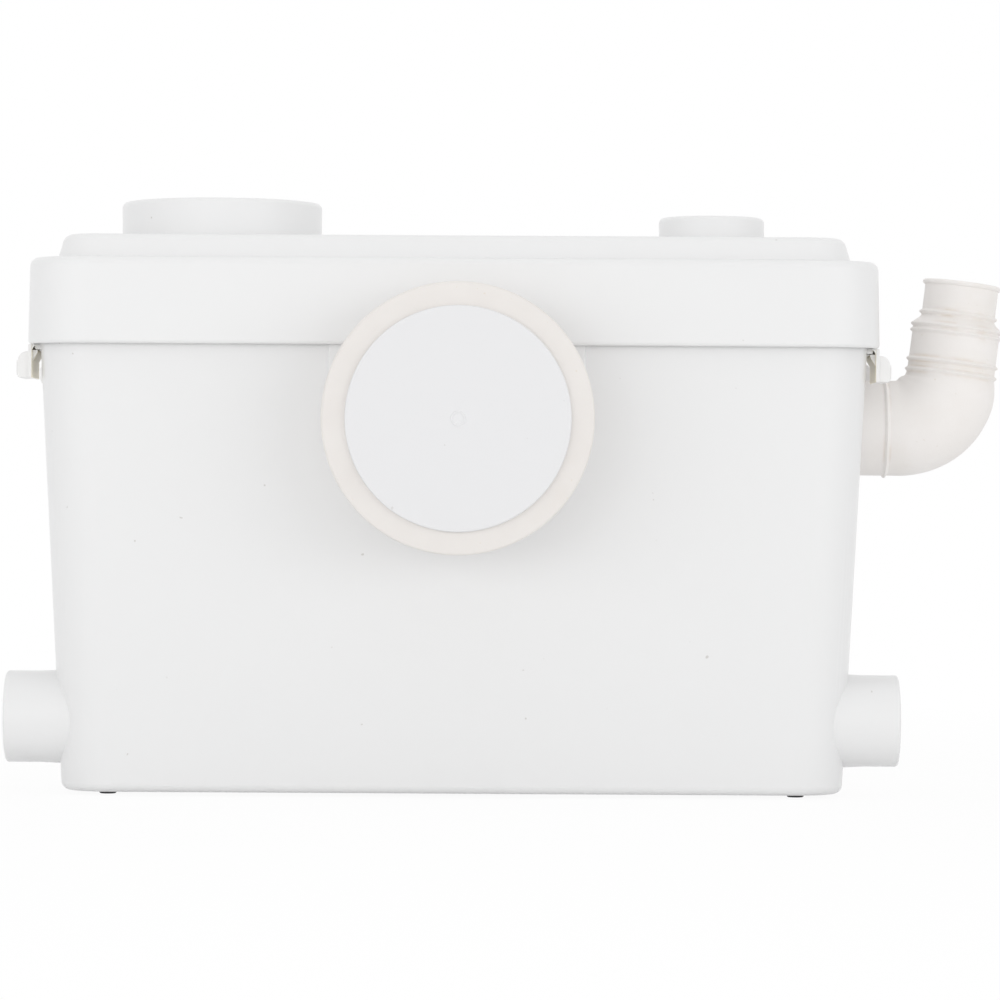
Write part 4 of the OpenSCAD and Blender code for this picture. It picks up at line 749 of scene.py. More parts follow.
def printed_board(name):
    """Green circuit board with paler tracks under its lacquer."""
    finish, tree, shader, where = new_finish(name)
    cells = tree.nodes.new("ShaderNodeTexBrick")
    cells.inputs["Scale"].default_value = TRACK_CELLS
    cells.inputs["Mortar Size"].default_value = TRACK_W
    cells.inputs["Color1"].default_value = (0.012, 0.11, 0.04, 1)
    cells.inputs["Color2"].default_value = (0.015, 0.13, 0.045, 1)
    cells.inputs["Mortar"].default_value = (0.06, 0.24, 0.09, 1)
    tree.links.new(where, cells.inputs["Vector"])
    coat(tree, shader, cells.outputs["Color"], ranged(tree, noise(tree, where, LACQUER_CELLS), 0.25, 0.4))
    relief(tree, shader, (cells.outputs["Fac"], 0.2, TRACK_DEPTH))
    return finish


def carbon_granules(name):
    """Black filter granules pressed together."""
    finish, tree, shader, where = new_finish(name)
    grains = tree.nodes.new("ShaderNodeTexVoronoi")
    grains.inputs["Scale"].default_value = GRANULE_CELLS
    tree.links.new(where, grains.inputs["Vector"])
    tone = ramp(tree, grains.outputs["Distance"], (0.1, (0.05, 0.05, 0.05)), (0.6, (0.012, 0.012, 0.013)))
    coat(tree, shader, tone, ranged(tree, noise(tree, where, DUST_CELLS), 0.55, 0.9))
    relief(tree, shader, (grains.outputs["Distance"], 0.8, GRANULE_DEPTH))
    return finish


WHITE = moulded_plastic("white_abs", (0.837, 0.838, 0.839), (0.829, 0.83, 0.831), speck=0.35)
# Clip plastic; its inward faces carry a painted warm khaki shade
THIN_WHITE = moulded_plastic("thin_white_abs", (0.87, 0.865, 0.855), (0.86, 0.855, 0.845),
                             inner_shade=(0.95, 0.88, 0.70))
BLANK_WHITE = moulded_plastic("blank_white", (0.80, 0.80, 0.81), (0.785, 0.785, 0.794), (0.36, 0.5), 0.08, 0.2)
COLLAR_CREAM = soft_rubber("collar_rubber", (0.822, 0.792, 0.765), (0.80, 0.768, 0.74), (0.74, 0.67, 0.58))
HOSE_CREAM = soft_rubber("elbow_rubber", (0.895, 0.868, 0.847), (0.868, 0.837, 0.812), (0.76, 0.71, 0.64), True)
BLACK_RUBBER = moulded_plastic("black_rubber", (0.022, 0.02, 0.02), (0.014, 0.013, 0.013), (0.55, 0.75), 0.2)
BLACK_PLASTIC = moulded_plastic("black_nylon", (0.022, 0.022, 0.023), (0.015, 0.015, 0.016), (0.3, 0.45), 0.1)
FINISHES = {
    "white_plastic": WHITE,
    "blank_plastic": BLANK_WHITE,
    "cream_rubber": COLLAR_CREAM,
    "black_rubber": BLACK_RUBBER,
    "black_plastic": BLACK_PLASTIC,
    "grey_plastic": moulded_plastic("grey_polypropylene", (0.33, 0.34, 0.35), (0.28, 0.29, 0.3), (0.32, 0.46), 0.1),
    "small_white": moulded_plastic("white_nylon", (0.74, 0.74, 0.72), (0.68, 0.68, 0.66), (0.3, 0.45), 0.1),
    "steel": brushed_metal("stainless_steel", (0.66, 0.66, 0.65), (0.5, 0.5, 0.5), (1, 1, 12)),
    "capacitor_can": brushed_metal("drawn_aluminium", (0.8, 0.81, 0.82), (0.68, 0.69, 0.7), (12, 1, 1)),
    "copper": wound_copper("wound_copper"),
    "board": printed_board("green_board"),
    "carbon": carbon_granules("carbon_granules"),
}

# ---- camera

# Place and lens in millimetres
CAMERA_X = 20.4
CAMERA_Y = -2000.0
CAMERA_Z = 128.95
CAMERA_LENS = 160.24
CAMERA_SENSOR = 36.0
CAMERA_ROLL = math.radians(0.33)


def add_camera():
    """Long lens in front of the unit, level with the middle of the tank."""
    data = bpy.data.cameras.new("camera")
    data.lens = CAMERA_LENS
    data.sensor_width = CAMERA_SENSOR
    camera = add_object("camera", data)
    place = Matrix.Translation(MIDDLE + Vector((CAMERA_X, CAMERA_Y, CAMERA_Z)) * MM)
    level = Matrix.Rotation(math.pi / 2, 4, "X")
    camera.matrix_world = place @ level @ Matrix.Rotation(CAMERA_ROLL, 4, "Z")
    bpy.context.scene.camera = camera


# ---- tank and lid


def tank_half(z):
    """Half length and half width of the tank's outside at a height."""
    grow = (z - BASE_Z) * TANK_SLOPE
    return TANK_BASE_X + grow, TANK_BASE_Y + grow


def tank_corner(inset):
    """Corner radius of the tank at an inset from its outside."""
    return TANK_CORNER - inset


def inlet_pad(inset, y):
    """Outline of the flat pad round the pan inlet: round below, straight sides up to the rim."""
    radius = PAD_R - inset
    top = RIM_Z - PAD_TOP_GAP
    points = [(INLET.x - radius, y, top)]
    for k in range(PAD_STEPS + 1):
        angle = math.pi * (1 + k / PAD_STEPS)
        points.append((INLET.x + radius * math.cos(angle), y, INLET.z + radius * math.sin(angle)))
    points.append((INLET.x + radius, y, top))
    return points


def make_tank():
    """Drafted tank with its side inlets, outlet boss, inlet pad, gland boss and clip lugs."""
    outside = rounded([(FLAT_INSET, SHELL_Z, 0), (0, SHELL_Z, FLOOR_ROUND), (0, RIM_Z, RIM_ROUND),
                       (FLAT_INSET, RIM_Z, 0)])
    floor_z = BASE_Z + TANK_WALL
    inside = rounded([(FLAT_INSET, floor_z, 0), (TANK_WALL, floor_z, FLOOR_ROUND_INSIDE),
                      (TANK_WALL, RIM_Z + PAST, 0), (FLAT_INSET, RIM_Z + PAST, 0)])
    tank = boxed("tank_shell", outside, tank_half, tank_corner)
    hollow = boxed("tank_hollow", inside, tank_half, tank_corner)

    pad_rings = [inlet_pad(0, -TANK_BASE_Y + TANK_WALL)]
    for inset, y in rounded([(0, 0, 0), (0, TANK_LOW.y, PAD_ROUND), (PAD_R, TANK_LOW.y, 0)])[1:-1]:
        pad_rings.append(inlet_pad(inset, y))
    steps = [("UNION", loft("inlet_pad", pad_rings))]

    inner_x = TANK_BASE_X - TANK_CORNER
    stub = rounded([(0, inner_x, 0), (STUB_R + STUB_ROOT, inner_x, 0),
                    (STUB_R + STUB_ROOT, STUB_ROOT_X - STUB_EASE, 0), (STUB_R, STUB_ROOT_X + STUB_EASE, 0),
                    (STUB_R, TANK_HIGH.x, STUB_ROUND), (0, TANK_HIGH.x, 0)])
    flare = [(STUB_BORE_R + STUB_ROUND * (1 - math.cos(a)), TANK_HIGH.x + STUB_ROUND * (math.sin(a) - FLARE_OUT))
             for a in (FLARE_TURN * k / FLARE_STEPS for k in range(FLARE_STEPS + 1))]
    bore = [(0, inner_x - PAST), (STUB_BORE_R, inner_x - PAST), *flare,
            (flare[-1][0] + PAST, TANK_HIGH.x + PAST), (0, TANK_HIGH.x + PAST)]
    bores = []
    for side in (-1, 1):
        turn = Matrix.Scale(side, 4, (1, 0, 0)) @ along_x(0, SIDE_INLET.y, SIDE_INLET.z)
        steps.append(("UNION", lathe("side_inlet", stub, turn)))
        bores.append(("DIFFERENCE", lathe("side_bore", bore, turn)))
        for end in (-1, 1):
            lug_y = end * centre("clip_rear_right").y
            lug = rounded([(side * inner_x, LUG_LOW_Z, 0), (side * LUG_X, LUG_LOW_Z, LUG_ROUND),
                           (side * LUG_X, LUG_HIGH_Z, LUG_ROUND), (side * inner_x, LUG_HIGH_Z, 0)])
            steps.append(("UNION", bar("lug", lug, lug_y - LUG_W / 2, lug_y + LUG_W / 2)))
    outlet_turn = along_x(0, OUTLET.y, OUTLET.z)
    steps.append(("UNION", rod("outlet_boss", OUTLET_BOSS_R, inner_x, OUTLET_BOSS_X, outlet_turn)))
    back_y = tank_half(GLAND.z)[1]
    gland_turn = along_y(GLAND.x, back_y, GLAND.z)
    boss = rounded([(0, -TANK_CORNER, 0), (GLAND_BOSS_R, -TANK_CORNER, 0),
                    (GLAND_BOSS_R, GLAND_BOSS_OUT, SOFT_EDGE), (0, GLAND_BOSS_OUT, 0)])
    steps.append(("UNION", lathe("gland_boss", boss, gland_turn)))
    steps += [
        ("DIFFERENCE", hollow), *bores,
        ("DIFFERENCE", rod("outlet_hole", OUTLET_HOLE_R, inner_x, OUTLET_BOSS_X + PAST, outlet_turn)),
        ("DIFFERENCE", rod("gland_hole", GLAND_HOLE_R, -TANK_CORNER, TANK_CORNER, gland_turn)),
        ("DIFFERENCE", rod("collar_hole", COLLAR_R + COLLAR_PLAY, COLLAR_LOW.y, COLLAR_HIGH.y,
                           along_y(INLET.x, 0, INLET.z)))]
    carve(tank, steps)
    dress(tank, "tank_shell", "housing", "white_plastic", WHITE, "tank")


def lid_half(z):
    """Half length and half width of the lid's skirt, which leans in a little upwards."""
    lean = (min(z, STEP_Z) - SKIRT_Z) * SKIRT_SLOPE
    return LID_HIGH.x - lean, LID_HIGH.y - lean


def lid_corner(inset):
    """Corner radius of the lid at an inset from its skirt."""
    if inset < CROWN_STEP - CROWN_FOOT:
        return LID_CORNER - inset
    return CROWN_CORNER + CROWN_STEP - inset


def make_lid():
    """Stepped lid: skirt, crown, rings under the caps, holes for motor and vent, inlet arch."""
    wall = CROWN_STEP + LID_WALL
    roof = wall + CROWN_LEAN + CROWN_ROUND
    profile = rounded([
        (roof, CROWN_Z - LID_WALL, 0), (wall + CROWN_LEAN, CROWN_Z - LID_WALL, CROWN_ROUND_INSIDE),
        (wall, LEDGE_Z, LEDGE_ROUND), (LID_WALL, LEDGE_Z, LEDGE_ROUND), (LID_WALL, SKIRT_Z, SKIRT_LIP),
        (0, SKIRT_Z, SKIRT_EDGE), (0, STEP_Z, SKIRT_ROUND), (CROWN_STEP, STEP_Z, CROWN_FOOT),
        (CROWN_STEP + CROWN_LEAN, CROWN_Z, CROWN_ROUND), (roof, CROWN_Z, 0)])
    lid = boxed("lid_shell", profile, lid_half, lid_corner)
    steps = []
    holes = []
    for low, high, hole_r in ((MOTOR_CAP_LOW, MOTOR_CAP_HIGH, MOTOR_HOLE_R),
                              (VENT_CAP_LOW, VENT_CAP_HIGH, VENT_HOLE_R)):
        hub = (low + high) / 2
        turn = along_z(hub.x, hub.y, 0)
        ring_r = (high.x - low.x) / 2 - CAP_WALL - CAP_RING_PLAY
        inner_r = ring_r - CAP_RING_WALL
        foot_z = CROWN_Z - LID_WALL / 2
        ring = rounded([(inner_r, foot_z, 0), (ring_r, foot_z, 0), (ring_r, LID_HIGH.z, SOFT_EDGE),
                        (inner_r, LID_HIGH.z, SOFT_EDGE)], closed=True)
        steps.append(("UNION", lathe("cap_ring", ring, turn)))
        holes.append(("DIFFERENCE", rod("cap_hole", hole_r, LEDGE_Z, LID_HIGH.z, turn)))
    arch_turn = along_y(INLET.x, 0, INLET.z)
    holes.append(("DIFFERENCE", rod("inlet_arch", ARCH_R, LID_LOW.y - PAST, TANK_LOW.y, arch_turn)))
    carve(lid, steps + holes)
    dress(lid, "lid_shell", "housing", "white_plastic", WHITE, "lid")


def make_cap(node):
    """Round push-on cap with a rolled top edge."""
    low, high = span(node)
    high.z -= CAP_TRIM[node]
    hub = (low + high) / 2
    radius = (high.x - low.x) / 2
    roof = high.z - CAP_WALL
    inner = radius - CAP_WALL
    outline = rounded([(0, roof, 0), (inner, roof, CAP_ROUND / 2), (inner, low.z, CAP_EDGE / 2),
                       (radius, low.z, CAP_EDGE), (radius, high.z, CAP_ROUND), (0, high.z, 0)])
    cap = lathe(node, outline, along_z(hub.x, hub.y, 0))
    dress(cap, f"{node}_shell", node, "white_plastic", WHITE, node)


# ---- pan inlet and discharge


def eased(value, start, end):
    """Smooth step from 0 to 1 between two places."""
    t = min(max((value - start) / (end - start), 0), 1)
    return t * t * (3 - 2 * t)


def droop(shape):
    """Hangs the mouth of the rubber sleeve, and the disc in it, a little out of line."""
    for vertex in shape.data.vertices:
        share = 1 - eased(vertex.co.y / MM, COLLAR_LOW.y + LIP_L, TANK_LOW.y)
        vertex.co.x += DROOP[0] * MM * share
        vertex.co.z += DROOP[1] * MM * share


def make_collar():
    """Rubber sleeve with a thick lip whose face leans back a little."""
    lip_r = (COLLAR_HIGH.x - COLLAR_LOW.x) / 2 + LIP_SWELL
    tail = COLLAR_HIGH.y - COLLAR_LOW.y
    outline = rounded([
        (COLLAR_MOUTH_R, 0, MOUTH_ROUND), (lip_r, LIP_CONE, LIP_EDGE), (lip_r, LIP_L, LIP_ROUND),
        (COLLAR_R, LIP_L, LIP_HEEL), (COLLAR_R, tail, TAIL_ROUND), (COLLAR_MOUTH_R, tail, TAIL_ROUND),
        (COLLAR_MOUTH_R, COLLAR_RELIEF, BORE_ROUND), (COLLAR_BORE_R, COLLAR_RELIEF, BORE_ROUND),
        (COLLAR_BORE_R, COLLAR_MOUTH_L, BORE_ROUND), (COLLAR_MOUTH_R, COLLAR_MOUTH_L, SEAT_ROUND)], closed=True)
    collar = lathe("collar", outline, along_y(INLET.x, COLLAR_LOW.y, INLET.z), INLET_STEPS)
    droop(collar)
    dress(collar, "inlet_sleeve", "housing", "cream_rubber", COLLAR_CREAM, "inlet_collar")


def make_blank():
    """Disc that closes the collar, with a moulding mark in its middle and a plug ring behind."""
    radius = (BLANK_HIGH.x - BLANK_LOW.x) / 2 + BLANK_SWELL
    plug_end = BLANK_HIGH.y - BLANK_LOW.y
    inner = PLUG_R - PLUG_WALL
    outline = rounded([
        (0, GATE_RISE, 0), (GATE_R - GATE_FOOT_IN, GATE_RISE, GATE_EDGE), (GATE_R - GATE_TOP, 0, GATE_EDGE),
        (GATE_R, 0, GATE_EDGE), (GATE_R + GATE_FOOT_OUT, GATE_RISE, GATE_EDGE), (radius, GATE_RISE, BLANK_EDGE),
        (radius, BLANK_T, BLANK_BACK_EDGE), (PLUG_R, BLANK_T, PLUG_FOOT), (PLUG_R, plug_end, PLUG_EDGE),
        (inner, plug_end, PLUG_EDGE), (inner, BLANK_T, PLUG_ROOT), (0, BLANK_T, 0)])
    blank = lathe("blank", outline, along_y(INLET.x, BLANK_LOW.y, INLET.z), INLET_STEPS)
    droop(blank)
    dress(blank, "inlet_blank_disc", "inlet_blank", "blank_plastic", BLANK_WHITE, "inlet_blank")


ELBOW_UPPER = BEND_START + BEND_R * BEND_TURN
ELBOW_END = ELBOW_UPPER + UPPER_L
ELBOW_BEADS = [BEND_START - FIRST_BEAD, *(ELBOW_UPPER + place for place in UPPER_BEADS)]
BEND_MIDDLE = (BEND_START + ELBOW_UPPER) / 2


def elbow_outside(s):
    """Outer radius of the elbow along its line."""
    radius = ELBOW_R + (SLEEVE_R - ELBOW_R) * eased(s, ELBOW_UPPER - NARROW_START, ELBOW_UPPER + NARROW_END)
    radius += BEND_SWELL * eased(s, BEND_START - SWELL_START, BEND_MIDDLE)
    radius -= BEND_SWELL * eased(s, BEND_MIDDLE, ELBOW_UPPER + SWELL_END)
    shoulder = ELBOW_UPPER + SLEEVE_L
    radius += (NECK_R - SLEEVE_R) * eased(s, shoulder, shoulder + SHOULDER_L)
    for bead in ELBOW_BEADS:
        reach = abs(s - bead) / BEAD_HALF
        if reach < 1:
            radius += BEAD_OUT * math.cos(reach * math.pi / 2) ** 2
    rim = (s - (ELBOW_END - RIM_L / 2)) / (RIM_L / 2)
    if abs(rim) <= 1:
        radius += RIM_OUT * math.sqrt(1 - rim * rim)
    return radius


def elbow_crease(s):
    """How much brown tint the elbow takes at a place along it: most in the creases beside the beads."""
    return min(1, sum(math.exp(-((abs(s - bead) - BEAD_HALF) / CREASE_TINT_W) ** 2) for bead in ELBOW_BEADS))


def elbow_inside(s):
    """Bore of the elbow along its line: spigot seat, bend, outlet."""
    radius = SPIGOT_R + (BEND_BORE_R - SPIGOT_R) * eased(s, SPIGOT_L, SPIGOT_L + SPIGOT_STEP)
    return radius + (OUTLET_BORE_R - BEND_BORE_R) * eased(s, ELBOW_UPPER - BORE_EASE, ELBOW_UPPER)


def elbow_ring(s, radius):
    """Ring of points about the elbow's line at a distance along it."""
    if s < BEND_START:
        turn = 0.0
        hub = Vector((ELBOW_LOW.x + s, OUTLET.y, OUTLET.z))
    else:
        turn = min((s - BEND_START) / BEND_R, BEND_TURN)
        hub = Vector((ELBOW_LOW.x + BEND_START + BEND_R * math.sin(turn), OUTLET.y,
                      OUTLET.z + BEND_R * (1 - math.cos(turn))))
        hub += max(0, s - ELBOW_UPPER) * Vector((math.cos(turn), 0, math.sin(turn)))
    side = Vector((-math.sin(turn), 0, math.cos(turn)))
    angles = [2 * math.pi * k / PIPE_STEPS for k in range(PIPE_STEPS)]
    return [hub + radius * (math.cos(a) * Vector((0, 1, 0)) + math.sin(a) * side) for a in angles]


def make_elbow():
    """Ribbed rubber elbow, swept along its line with its bore."""
    stops = {0.0, ELBOW_END}
    stops.update(k * ELBOW_END / HOSE_STEPS for k in range(1, HOSE_STEPS))
    for bead in ELBOW_BEADS:
        stops.update(bead + BEAD_HALF * k / BEAD_STEPS for k in range(-BEAD_STEPS - 1, BEAD_STEPS + 2))
    stops.update(ELBOW_END - RIM_L / 2 * (1 - math.cos(math.pi * k / RIM_STEPS)) for k in range(RIM_STEPS + 1))
    outer = sorted(stops)
    inner = [ELBOW_END - OUTLET_EDGE, ELBOW_END - OUTLET_L, ELBOW_UPPER + THROAT_L]
    inner += [ELBOW_UPPER - BEND_R * BEND_TURN * k / BEND_STEPS for k in range(BEND_STEPS + 1)]
    inner += [SPIGOT_L + SPIGOT_STEP, SPIGOT_L + SPIGOT_STEP / 2, SPIGOT_L, SPIGOT_EDGE]
    rings = [elbow_ring(along, elbow_outside(0) - inset) for along, inset in HOSE_EDGE]
    creases = [0.0] * len(rings)
    for s in outer[1:]:
        rings.append(elbow_ring(s, elbow_outside(s)))
        creases.append(elbow_crease(s))
    rings.append(elbow_ring(ELBOW_END, OUTLET_BORE_R + OUTLET_EDGE))
    for s in sorted(set(inner), reverse=True):
        rings.append(elbow_ring(s, elbow_inside(s)))
    rings.append(elbow_ring(0, SPIGOT_R + SPIGOT_EDGE))
    creases += [0.0] * (len(rings) - len(creases))
    elbow = loft("elbow", rings, ring_closed=True)
    # Share of the brown crease tint at each ring along the elbow
    crease_tint = elbow.data.attributes.new("crease", "FLOAT", "POINT")
    crease_tint.data.foreach_set("value", [crease for crease in creases for _ in range(PIPE_STEPS)])
    dress(elbow, "elbow_hose", "elbow", "cream_rubber", HOSE_CREAM, "discharge_elbow")


# ---- clips, feet and gland


def make_clip(node):
    """Snap clip under the skirt: blade, finger grip with ridges, barb and hinge webs."""
    low, high = span(node)
    mid_y = (low.y + high.y) / 2
    side = 1 if high.x > 0 else -1

    def at(corners):
        return rounded([(side * (LID_HIGH.x + x), SKIRT_Z + z, radius) for x, z, radius in corners], closed=True)

    def across(name, corners, start, end, soften=SOFT_EDGE):
        return bar(name, at(corners), mid_y + start, mid_y + end, soften)

    blade = across("blade", [(-CLIP_T, -HINGE_GAP, 0), (0, -HINGE_GAP, 0), (0, -CLIP_H, BLADE_EDGE),
                             (-CLIP_T, -CLIP_H, BLADE_EDGE)], -CLIP_W / 2, CLIP_W / 2)
    face = GRIP_OUT - RIDGE_RISE
    grip = across("grip", [(-CLIP_T / 2, -GRIP_TOP, 0), (face, -GRIP_TOP, GRIP_ROUND), (face, -CLIP_H, GRIP_EDGE),
                           (-CLIP_T / 2, -CLIP_H + SOFT_EDGE, 0)], -GRIP_W / 2, GRIP_W / 2)
    nose_x = -CLIP_T - BARB_REACH
    barb = across("barb", [(-CLIP_T / 2, -BARB_DROP, 0), (nose_x, -BARB_DROP, BARB_EDGE),
                           (nose_x, -BARB_DROP - BARB_NOSE, BARB_EDGE), (-CLIP_T, -BARB_DROP - BARB_H, 0),
                           (-CLIP_T / 2, -BARB_DROP - BARB_H, 0)], -BARB_W / 2, BARB_W / 2, 0)
    steps = [("UNION", grip), ("UNION", barb)]
    for end in (-1, 1):
        arc = [(-CLIP_T - WEB_OUT * (1 - math.sin(a)), -HINGE_GAP - WEB_OUT * (1 - math.cos(a)), 0)
               for a in (math.pi / 2 * k / WEB_STEPS for k in range(WEB_STEPS + 1))]
        web = [(-CLIP_T / 2, -HINGE_GAP - WEB_OUT, 0), (-CLIP_T / 2, -HINGE_GAP - WEB_LAP, 0), *arc]
        start = end * (CLIP_W / 2 - SOFT_EDGE)
        inner = end * (CLIP_W / 2 - WEB_W)
        steps.append(("UNION", across("web", web, min(start, inner), max(start, inner), 0)))
    carve(blade, steps)
    # Marks the blade's inward faces, which the finish paints with a warm khaki shade
    inner = blade.data.attributes.new("inner", "FLOAT", "FACE")
    for place, face in enumerate(blade.data.polygons):
        inner.data[place].value = float(face.normal.x * side < -INNER_LEAN)
    dress(blade, f"{node}_tab", node, "white_plastic", THIN_WHITE, node)

    ridge_top = GRIP_TOP + RIDGE_DROP
    half = (CLIP_H - ridge_top) / 2 - GRIP_EDGE / 2
    pattern = capsule("ridge", RIDGE_R, half, RIDGE_END, Matrix.Identity(4), RIDGE_STEPS)
    pitch = GRIP_W / RIDGES
    start = Vector((side * (LID_HIGH.x + GRIP_OUT - RIDGE_R), mid_y - pitch * (RIDGES - 1) / 2,
                    SKIRT_Z - (CLIP_H + ridge_top) / 2))
    ridges = repeated(f"{node}_ridges", pattern, in_a_row, {
        "Count": ("NodeSocketInt", RIDGES),
        "Start": ("NodeSocketVector", MIDDLE + start * MM),
        "Pitch": ("NodeSocketVector", Vector((0, pitch, 0)) * MM)})
    dress(ridges, f"{node}_ridges", node, "white_plastic", THIN_WHITE)


def make_feet():
    """Four small rubber feet."""
    outline = rounded([(0, FEET_LOW.z, 0), (FOOT_LOW_R, FEET_LOW.z, FOOT_ROUND), (FOOT_TOP_R, SHELL_Z, 0),
                       (0, SHELL_Z, 0)])
    mesh = bmesh.new()
    for foot_x in (FEET_LOW.x + FOOT_TOP_R, FEET_HIGH.x - FOOT_TOP_R):
        for foot_y in (FEET_LOW.y + FOOT_TOP_R, FEET_HIGH.y - FOOT_TOP_R):
            foot = lathe("foot", outline, along_z(foot_x, foot_y, 0), FOOT_STEPS)
            mesh.from_mesh(foot.data)
            bpy.data.objects.remove(foot)
    data = bpy.data.meshes.new("rubber_feet")
    mesh.to_mesh(data)
    mesh.free()
    dress(add_object("rubber_feet", data), "rubber_feet", "housing", "black_rubber", BLACK_RUBBER, "feet")


def make_gland():
    """Cable gland: threaded stem, hexagon and a fluted dome."""
    face_y = tank_half(GLAND.z)[1] + GLAND_BOSS_OUT
    turn = along_y(GLAND.x, face_y, GLAND.z)
    stem = GLAND_LOW.y - face_y
    tip = GLAND_HIGH.y - face_y
    hexagon = rounded([(0, HEX_GAP, 0), (HEX_R, HEX_GAP, 0), (HEX_R, HEX_L, HEX_EDGE), (0, HEX_L, 0)],
                      steps=EDGE_STEPS)
    body = lathe("hexagon", hexagon, turn, HEX_SIDES)
    dome = rounded([
        (GLAND_BORE_R, stem, GLAND_BORE_EDGE), (GLAND_THREAD_R, stem, GLAND_THREAD_EDGE),
        (GLAND_THREAD_R, HEX_L / 2, 0), (DOME_BASE_R, HEX_L / 2, 0), (DOME_BASE_R, HEX_L + DOME_BASE_L, DOME_EDGE),
        (DOME_TIP_R, tip, DOME_ROUND), (GLAND_BORE_R, tip, DOME_EDGE)], closed=True)
    bore = rod("bore", GLAND_BORE_R + GLAND_BORE_PLAY, -PAST, HEX_L + PAST, turn)
    carve(body, [("DIFFERENCE", bore), ("UNION", lathe("dome", dome, turn, GLAND_STEPS))])
    dress(body, "cable_gland_body", "housing", "black_plastic", BLACK_PLASTIC, "cable_gland")
    half = (tip - HEX_L) / 2 - FLUTE_SHORT
    pattern = capsule("flute", FLUTE_R, half, FLUTE_END, along_y(0, 0, 0), FLUTE_STEPS)
    middle = Vector((GLAND.x, face_y + HEX_L + FLUTE_START + half, GLAND.z))
    flutes = repeated("cable_gland_flutes", pattern, in_a_ring, {
        "Count": ("NodeSocketInt", FLUTES),
        "Radius": ("NodeSocketFloat", (DOME_BASE_R - FLUTE_R / 2) * MM),
        "Centre": ("NodeSocketVector", MIDDLE + middle * MM)})
    dress(flutes, "cable_gland_flutes", "housing", "black_plastic", BLACK_PLASTIC)


# ---- inner parts, floor and light


def make_spring():
    """Coil spring round the plunger's stem, built at one length; the real spring shortens as the plunger rises."""
    low, high = span("plunger_spring")
    hub = (low + high) / 2
    coil_r = (high.x - low.x) / 2 - SPRING_WIRE_R - SPRING_PLAY
    rise = high.z - low.z - 2 * (SPRING_WIRE_R + SPRING_PLAY)
    rings = []
    for k in range(SPRING_TURNS * SPRING_STEPS + 1):
        turned = k / SPRING_STEPS
        angle = 2 * math.pi * turned
        out = Vector((math.cos(angle), math.sin(angle), 0))
        height = low.z + SPRING_WIRE_R + SPRING_PLAY + rise * turned / SPRING_TURNS
        middle = Vector((hub.x, hub.y, height)) + out * coil_r
        rings.append([middle + (out * math.cos(a) + Vector((0, 0, 1)) * math.sin(a)) * SPRING_WIRE_R
                      for a in (2 * math.pi * n / WIRE_STEPS for n in range(WIRE_STEPS))])
    spring = loft("spring", rings)
    dress(spring, "plunger_spring_coil", "housing", "steel", FINISHES["steel"], "plunger_spring")
    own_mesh(spring)


def finish_inner_parts():
    """Gives every solid that stays its own procedural finish."""
    slots = {part["node"]: part["material_slot"] for part in frame["record"]["subparts"]}
    for node, shape in frame["nodes"].items():
        shape.data.materials.clear()
        shape.data.materials.append(FINISHES[slots[node]])


# Floor: radius in metres, share of plain white near the unit, and the distances over which it becomes all white
FLOOR_R = 12.0
FLOOR_STEPS = 64
FLOOR_WHITE = (0.9, 0.9, 0.9, 1)
FLOOR_ROUGHNESS = 0.9
FLOOR_GLOW = 0.94
FLOOR_FADE = (0.3, 0.9)


def background_ray(tree):
    """1 for rays that look at the background: straight from the camera, by gloss or through glass."""
    light_path = tree.nodes.new("ShaderNodeLightPath")
    total = light_path.outputs["Is Camera Ray"]
    for name in ("Is Glossy Ray", "Is Transmission Ray"):
        either = tree.nodes.new("ShaderNodeMath")
        either.operation = "MAXIMUM"
        tree.links.new(total, either.inputs[0])
        tree.links.new(light_path.outputs[name], either.inputs[1])
        total = either.outputs[0]
    return total


def mix_shaders(tree, share, first, second, output):
    """Surface of a finish or world that goes from one shader to another by a share."""
    mix = tree.nodes.new("ShaderNodeMixShader")
    tree.links.new(share, mix.inputs["Fac"])
    tree.links.new(first, mix.inputs[1])
    tree.links.new(second, mix.inputs[2])
    tree.links.new(mix.outputs["Shader"], tree.nodes[output].inputs["Surface"])


def add_floor():
    """Plain white floor that fades into the background and keeps the unit's shadow."""
    mesh = bmesh.new()
    bmesh.ops.create_circle(mesh, cap_ends=True, segments=FLOOR_STEPS, radius=FLOOR_R)
    data = bpy.data.meshes.new("floor")
    mesh.to_mesh(data)
    mesh.free()
    floor = add_object("floor", data)
    finish = bpy.data.materials.new("floor_white")
    finish.use_nodes = True
    tree = finish.node_tree
    shader = tree.nodes["Principled BSDF"]
    shader.inputs["Base Color"].default_value = FLOOR_WHITE
    shader.inputs["Roughness"].default_value = FLOOR_ROUGHNESS
    shader.inputs["Specular IOR Level"].default_value = 0.0
    glow = tree.nodes.new("ShaderNodeEmission")
    away = tree.nodes.new("ShaderNodeVectorMath")
    away.operation = "LENGTH"
    tree.links.new(tree.nodes.new("ShaderNodeTexCoord").outputs["Object"], away.inputs[0])
    share = tree.nodes.new("ShaderNodeMath")
    share.operation = "MULTIPLY"
    tree.links.new(ranged(tree, away.outputs["Value"], FLOOR_GLOW, 1.0, *FLOOR_FADE), share.inputs[1])
    tree.links.new(background_ray(tree), share.inputs[0])
    mix_shaders(tree, share.outputs[0], shader.outputs["BSDF"], glow.outputs["Emission"], "Material Output")
    data.materials.append(finish)


# Light from all round: its strength in front and behind, and where along Y it goes from one to the other
AMBIENT_FRONT = 0.68
AMBIENT_BACK = 0.88
AMBIENT_TURN = (-0.2, 0.7)


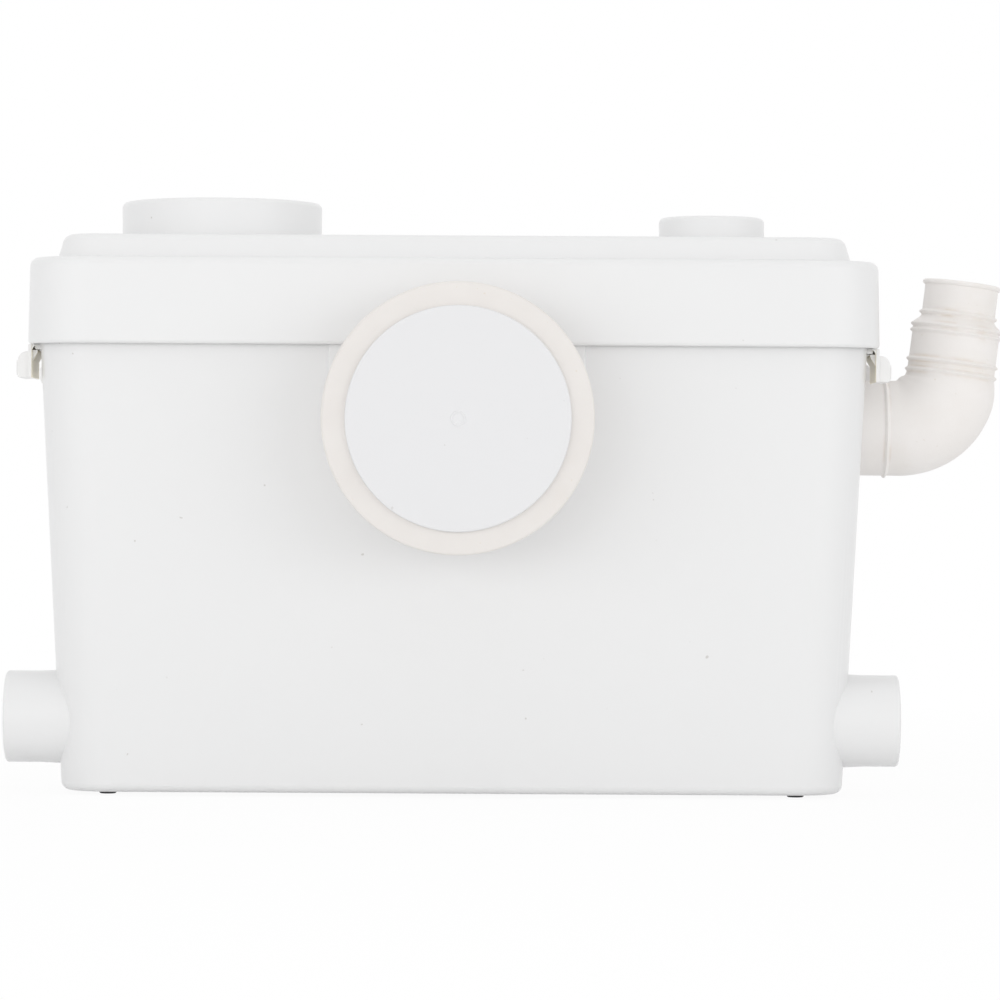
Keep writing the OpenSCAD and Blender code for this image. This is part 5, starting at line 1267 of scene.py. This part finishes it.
def add_world():
    """White background, with softer light from all round for the unit itself."""
    world = bpy.data.worlds.new("studio")
    world.use_nodes = True
    bpy.context.scene.world = world
    tree = world.node_tree
    ambient = tree.nodes["Background"]
    ambient.inputs["Color"].default_value = (1, 1, 1, 1)
    direction = tree.nodes.new("ShaderNodeSeparateXYZ")
    tree.links.new(tree.nodes.new("ShaderNodeTexCoord").outputs["Generated"], direction.inputs["Vector"])
    strength = ranged(tree, direction.outputs["Y"], AMBIENT_FRONT, AMBIENT_BACK, *AMBIENT_TURN)
    tree.links.new(strength, ambient.inputs["Strength"])
    white = tree.nodes.new("ShaderNodeBackground")
    white.inputs["Color"].default_value = (1, 1, 1, 1)
    mix_shaders(tree, background_ray(tree), ambient.outputs["Background"], white.outputs["Background"],
                "World Output")


# Lamps: place and aim in metres from the tank's middle, width and height in metres, power in watts
LAMPS = {
    "key": ((-1.7, -1.9, 0.5), (0.0, 0.0, 0.13), (2.4, 0.9), 9.0),
    "front": ((-0.4, -2.6, 0.4), (0.0, 0.0, 0.13), (1.6, 0.9), 6.3),
    "fill": ((1.8, -1.9, 0.5), (0.0, 0.0, 0.13), (2.4, 0.9), 11.0),
    "top": ((0.0, 0.2, 2.0), (0.0, 0.0, 0.2), (1.8, 1.8), 5.0),
}


def add_lamps():
    """Soft boxes: one at the front left, one beside the camera, one at the front right and one overhead."""
    for name, (place, aim, size, power) in LAMPS.items():
        data = bpy.data.lights.new(name, "AREA")
        data.shape = "RECTANGLE"
        data.size, data.size_y = size
        data.energy = power
        lamp = add_object(name, data)
        lamp.location = MIDDLE + Vector(place)
        lamp.rotation_euler = (Vector(aim) - Vector(place)).to_track_quat("-Z", "Y").to_euler()
        lamp.visible_glossy = False


bpy.context.scene.view_settings.view_transform = "Standard"
add_camera()
finish_inner_parts()
make_tank()
make_lid()
make_cap("motor_cap")
make_cap("vent_cap")
make_collar()
make_blank()
make_elbow()
for end in ("front", "rear"):
    for hand in ("left", "right"):
        make_clip(f"clip_{end}_{hand}")
make_feet()
make_gland()
make_spring()
add_floor()
add_world()
add_lamps()
